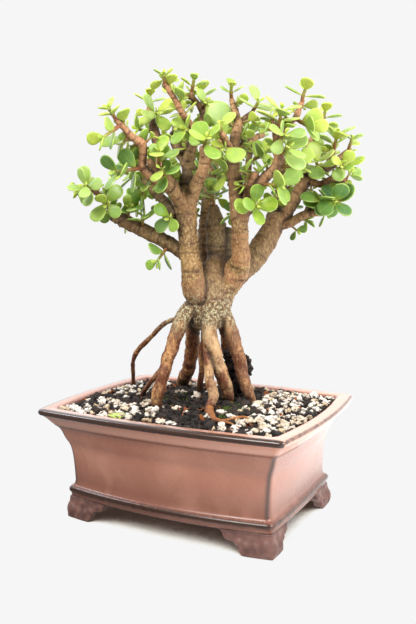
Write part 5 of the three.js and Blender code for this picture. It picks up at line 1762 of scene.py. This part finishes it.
class BONSAI_OT_soil(bpy.types.Operator):
    """Fill the pot with potting mix and scatter grit, crumbs and moss on it"""

    bl_idname = "bonsai.soil"
    bl_label = "Soil"

    def execute(self, context):
        settings = context.scene.bonsai_soil
        bed = mesh_of(soil_bed(), "soil_bed")
        tone = 0.35 + 0.3 * noise_at(read_points(bed), 0.4)
        paint(bed, "grain", tone, tone, tone)
        peat = dark_material("peat", (70, 48, 36), (14, 9, 7))
        finish_piece("soil_bed", bed, [peat], replaces=["soil"])
        roll = random.Random(4181)
        taken = {}
        share = 1.0
        pumice = scatter(
            roll, int(settings.grit_count * max(share, 0.8)), (1.7, 3.5), pumice_share, taken, 0.84)
        lava = scatter(
            roll, int(settings.lava_count * share), (1.2, 3.3), lambda x, y: 0.9, taken, 0.66)
        crumbs = scatter(
            roll, int(settings.crumb_count * share), (0.5, 1.15), lambda x, y: 1.0, taken, 0.5)
        chips = scatter(roll, 46, (1.0, 2.2), lambda x, y: 0.8, {}, 0.5)
        grains_piece(
            "pumice_grit", roll, pumice, 3, pumice_material(settings),
            (0.85, 0.42, 0.4), 0.1)
        grains_piece(
            "lava_grit", roll, lava, 2, dark_material("lava", (66, 50, 42), (12, 9, 8)),
            (0.85, 0.5, 0.3), 0.2)
        grains_piece("peat_crumbs", roll, crumbs, 1, peat, (0.8, 0.5, 0.6), 0.1)
        grains_piece(
            "bark_chips", roll, chips, 1, dark_material("chip", (206, 118, 50), (120, 60, 28)),
            (0.35, 0.4, 1.2), -0.6)
        self.clump(roll, peat)
        self.moss(roll)
        self.rootlets(roll)
        return {"FINISHED"}

    def clump(self, roll, peat):
        """Crumbs of old soil held between the roots."""
        bm = bmesh.new()
        counts, tones = [], []
        ball = ball_mesh(2)
        paths = [smooth_path(path, 6) for path in CLUMPS]
        for k in range(CLUMP_STONES):
            path = paths[k % len(paths)]
            x, y, z, radius = path[int(len(path) * roll.random() ** 1.2)]
            way = Vector((roll.gauss(0, 1), roll.gauss(0, 1), roll.gauss(0, 1))).normalized()
            place = Vector((x, y, z)) + way * radius * roll.uniform(0.5, 1.0)
            size = roll.uniform(1.0, 2.4)
            counts.append(add_stone(bm, ball, roll, place, size, 0.85, 0.5, 0.4))
            tones.append(roll.random())
        finish_grains("soil_clump", bm, counts, tones, peat)

    def moss(self, roll):
        """Short green tufts where the surface stays damp."""
        bm = bmesh.new()
        counts, tones = [], []
        while len(counts) < MOSS_TUFTS:
            x, y = roll.uniform(-40, 66), roll.uniform(-50, 30)
            if roll.random() > moss_share(x, y) ** 1.5 or not inside_pot(x, y, 2):
                continue
            z = soil_height(x, y)
            lean = Matrix.Rotation(roll.uniform(-0.7, 0.7), 4, "X")
            lean = lean @ Matrix.Rotation(roll.uniform(-0.7, 0.7), 4, "Y")
            tall = roll.uniform(1.2, 3.2)
            made = bmesh.ops.create_cone(
                bm, cap_ends=True, segments=3, radius1=roll.uniform(0.35, 0.7), radius2=0.06,
                depth=tall, matrix=Matrix.Translation((x, y, z + tall * 0.3)) @ lean)
            counts.append(len(made["verts"]))
            tones.append(roll.random())
        moss = dark_material("moss", (128, 156, 46), (46, 68, 18))
        finish_grains("moss", bm, counts, tones, moss, smooth=False)

    def rootlets(self, roll):
        """A surface root at the front and fine dead roots lying on the grit."""
        bm = bmesh.new()
        for path in SURFACE_ROOTS:
            tube_into(bm, smooth_path(path, 5), 8)
        for _ in range(ROOTLETS):
            x, y = roll.uniform(-55, 45), roll.uniform(-50, -5)
            turn = roll.uniform(0, 6.3)
            path = []
            for k in range(5):
                x += 2.6 * math.cos(turn)
                y += 2.6 * math.sin(turn)
                turn += roll.uniform(-0.5, 0.5)
                lift = 1.7 + roll.uniform(-0.5, 0.5) - (1.4 if k in (0, 4) else 0)
                path.append((x, y, soil_height(x, y) + lift, 0.32))
            if all(inside_pot(p[0], p[1], 2) for p in path):
                tube_into(bm, smooth_path(path, 3), 5)
        mesh = mesh_of(bm, "surface_roots")
        tone = 0.5 + 0.5 * noise_at(read_points(mesh), 0.3)
        paint(mesh, "grain", tone, tone, tone)
        material = dark_material("surface_root", (204, 140, 72), (132, 74, 40), 0.7)
        finish_piece("surface_roots", mesh, [material])


class BONSAI_OT_wood(bpy.types.Operator):
    """Grow the roots, trunk and limbs as one skin of ringed bark"""

    bl_idname = "bonsai.wood"
    bl_label = "Wood"

    def execute(self, context):
        settings = context.scene.bonsai_wood
        paths = limb_paths()
        voxel = settings.voxel / MM * 1.0
        mesh = wood_mesh(paths, voxel)
        points = read_points(mesh)
        height, tones, marks = bark_relief(points, paths)
        write_points(mesh, points + read_normals(mesh) * height[:, None])
        paint(mesh, "bark_tone", *tones)
        paint(mesh, "bark_mark_and_shade", *marks)
        finish_piece("wood", mesh, [bark_material(settings)], replaces=["trunk"])
        return {"FINISHED"}


class BONSAI_OT_leaves(bpy.types.Operator):
    """Set crossed pairs of fleshy leaves on every twig"""

    bl_idname = "bonsai.leaves"
    bl_label = "Leafy twigs"

    def execute(self, context):
        settings = context.scene.bonsai_leaves
        materials = [leaf_material(settings), stem_material(settings)]
        twigs = grow_leaves()
        show_big_leaf(twigs)
        ball = leaf_ball()
        for twig in twigs:
            kit = leafy_kit(ball)
            spray_into(kit, twig, random.Random(twig["index"] + 61))
            name = "twig_" + twig["name"]
            spray = "spray_" + twig["name"]
            finish_piece(name, mesh_of(kit[0], name), materials, replaces=[spray])
        shoots = young_shoots(twigs)
        for limb in dict.fromkeys(shoot["name"] for shoot in shoots):
            kit = leafy_kit(ball)
            for shoot in shoots:
                if shoot["name"] == limb:
                    spray_into(kit, shoot, random.Random(shoot["seed"]))
            name = "shoots_" + limb
            finish_piece(name, mesh_of(kit[0], name), materials)
        self.fallen(materials, ball)
        return {"FINISHED"}

    def fallen(self, materials, ball):
        """One shed leaf on the grit at the left."""
        x, y, turn = FALLEN["x"], FALLEN["y"], FALLEN["turn"]
        way = np.array((math.cos(turn), math.sin(turn), 0.0))
        face = np.array((0.0, 0.0, 1.0))
        foot = np.array((x, y, soil_height(x, y) + 1.25 + FALLEN["lift"]))
        leaf = {"foot": foot, "way": way, "face": face, "across": np.cross(way, face),
                "size": FALLEN["length"]}
        kit = leafy_kit(ball)
        leaf_into(kit, leaf, random.Random(5), 0.26, 0.1, BROAD)
        shed = mesh_of(kit[0], "shed_leaf")
        finish_piece("shed_leaf", shed, materials[:1], replaces=["fallen_leaf"])


class BONSAI_PT_panel(bpy.types.Panel):
    """Steps that build the bonsai"""

    bl_idname = "BONSAI_PT_panel"
    bl_label = "Bonsai"
    bl_space_type = "VIEW_3D"
    bl_region_type = "UI"
    bl_category = "Bonsai"

    def draw(self, context):
        for operator in OPERATORS:
            self.layout.operator(operator.bl_idname)
        for group, kind in GROUPS.items():
            box = self.layout.box()
            for name in kind.__annotations__:
                box.prop(getattr(context.scene, group), name)


OPERATORS = (
    BONSAI_OT_stage,
    BONSAI_OT_pot,
    BONSAI_OT_drain_screen,
    BONSAI_OT_soil,
    BONSAI_OT_wood,
    BONSAI_OT_leaves,
)


def register():
    for kind in (*GROUPS.values(), *OPERATORS, BONSAI_PT_panel):
        bpy.utils.register_class(kind)
    for name, kind in GROUPS.items():
        setattr(bpy.types.Scene, name, bpy.props.PointerProperty(type=kind))


def unregister():
    for name in GROUPS:
        delattr(bpy.types.Scene, name)
    for kind in (BONSAI_PT_panel, *reversed(OPERATORS), *reversed(list(GROUPS.values()))):
        bpy.utils.unregister_class(kind)


def main():
    """Builds everything."""
    register()
    for operator in OPERATORS:
        group, name = operator.bl_idname.split(".")
        getattr(getattr(bpy.ops, group), name)()
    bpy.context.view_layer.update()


if __name__ == "__main__":
    main()
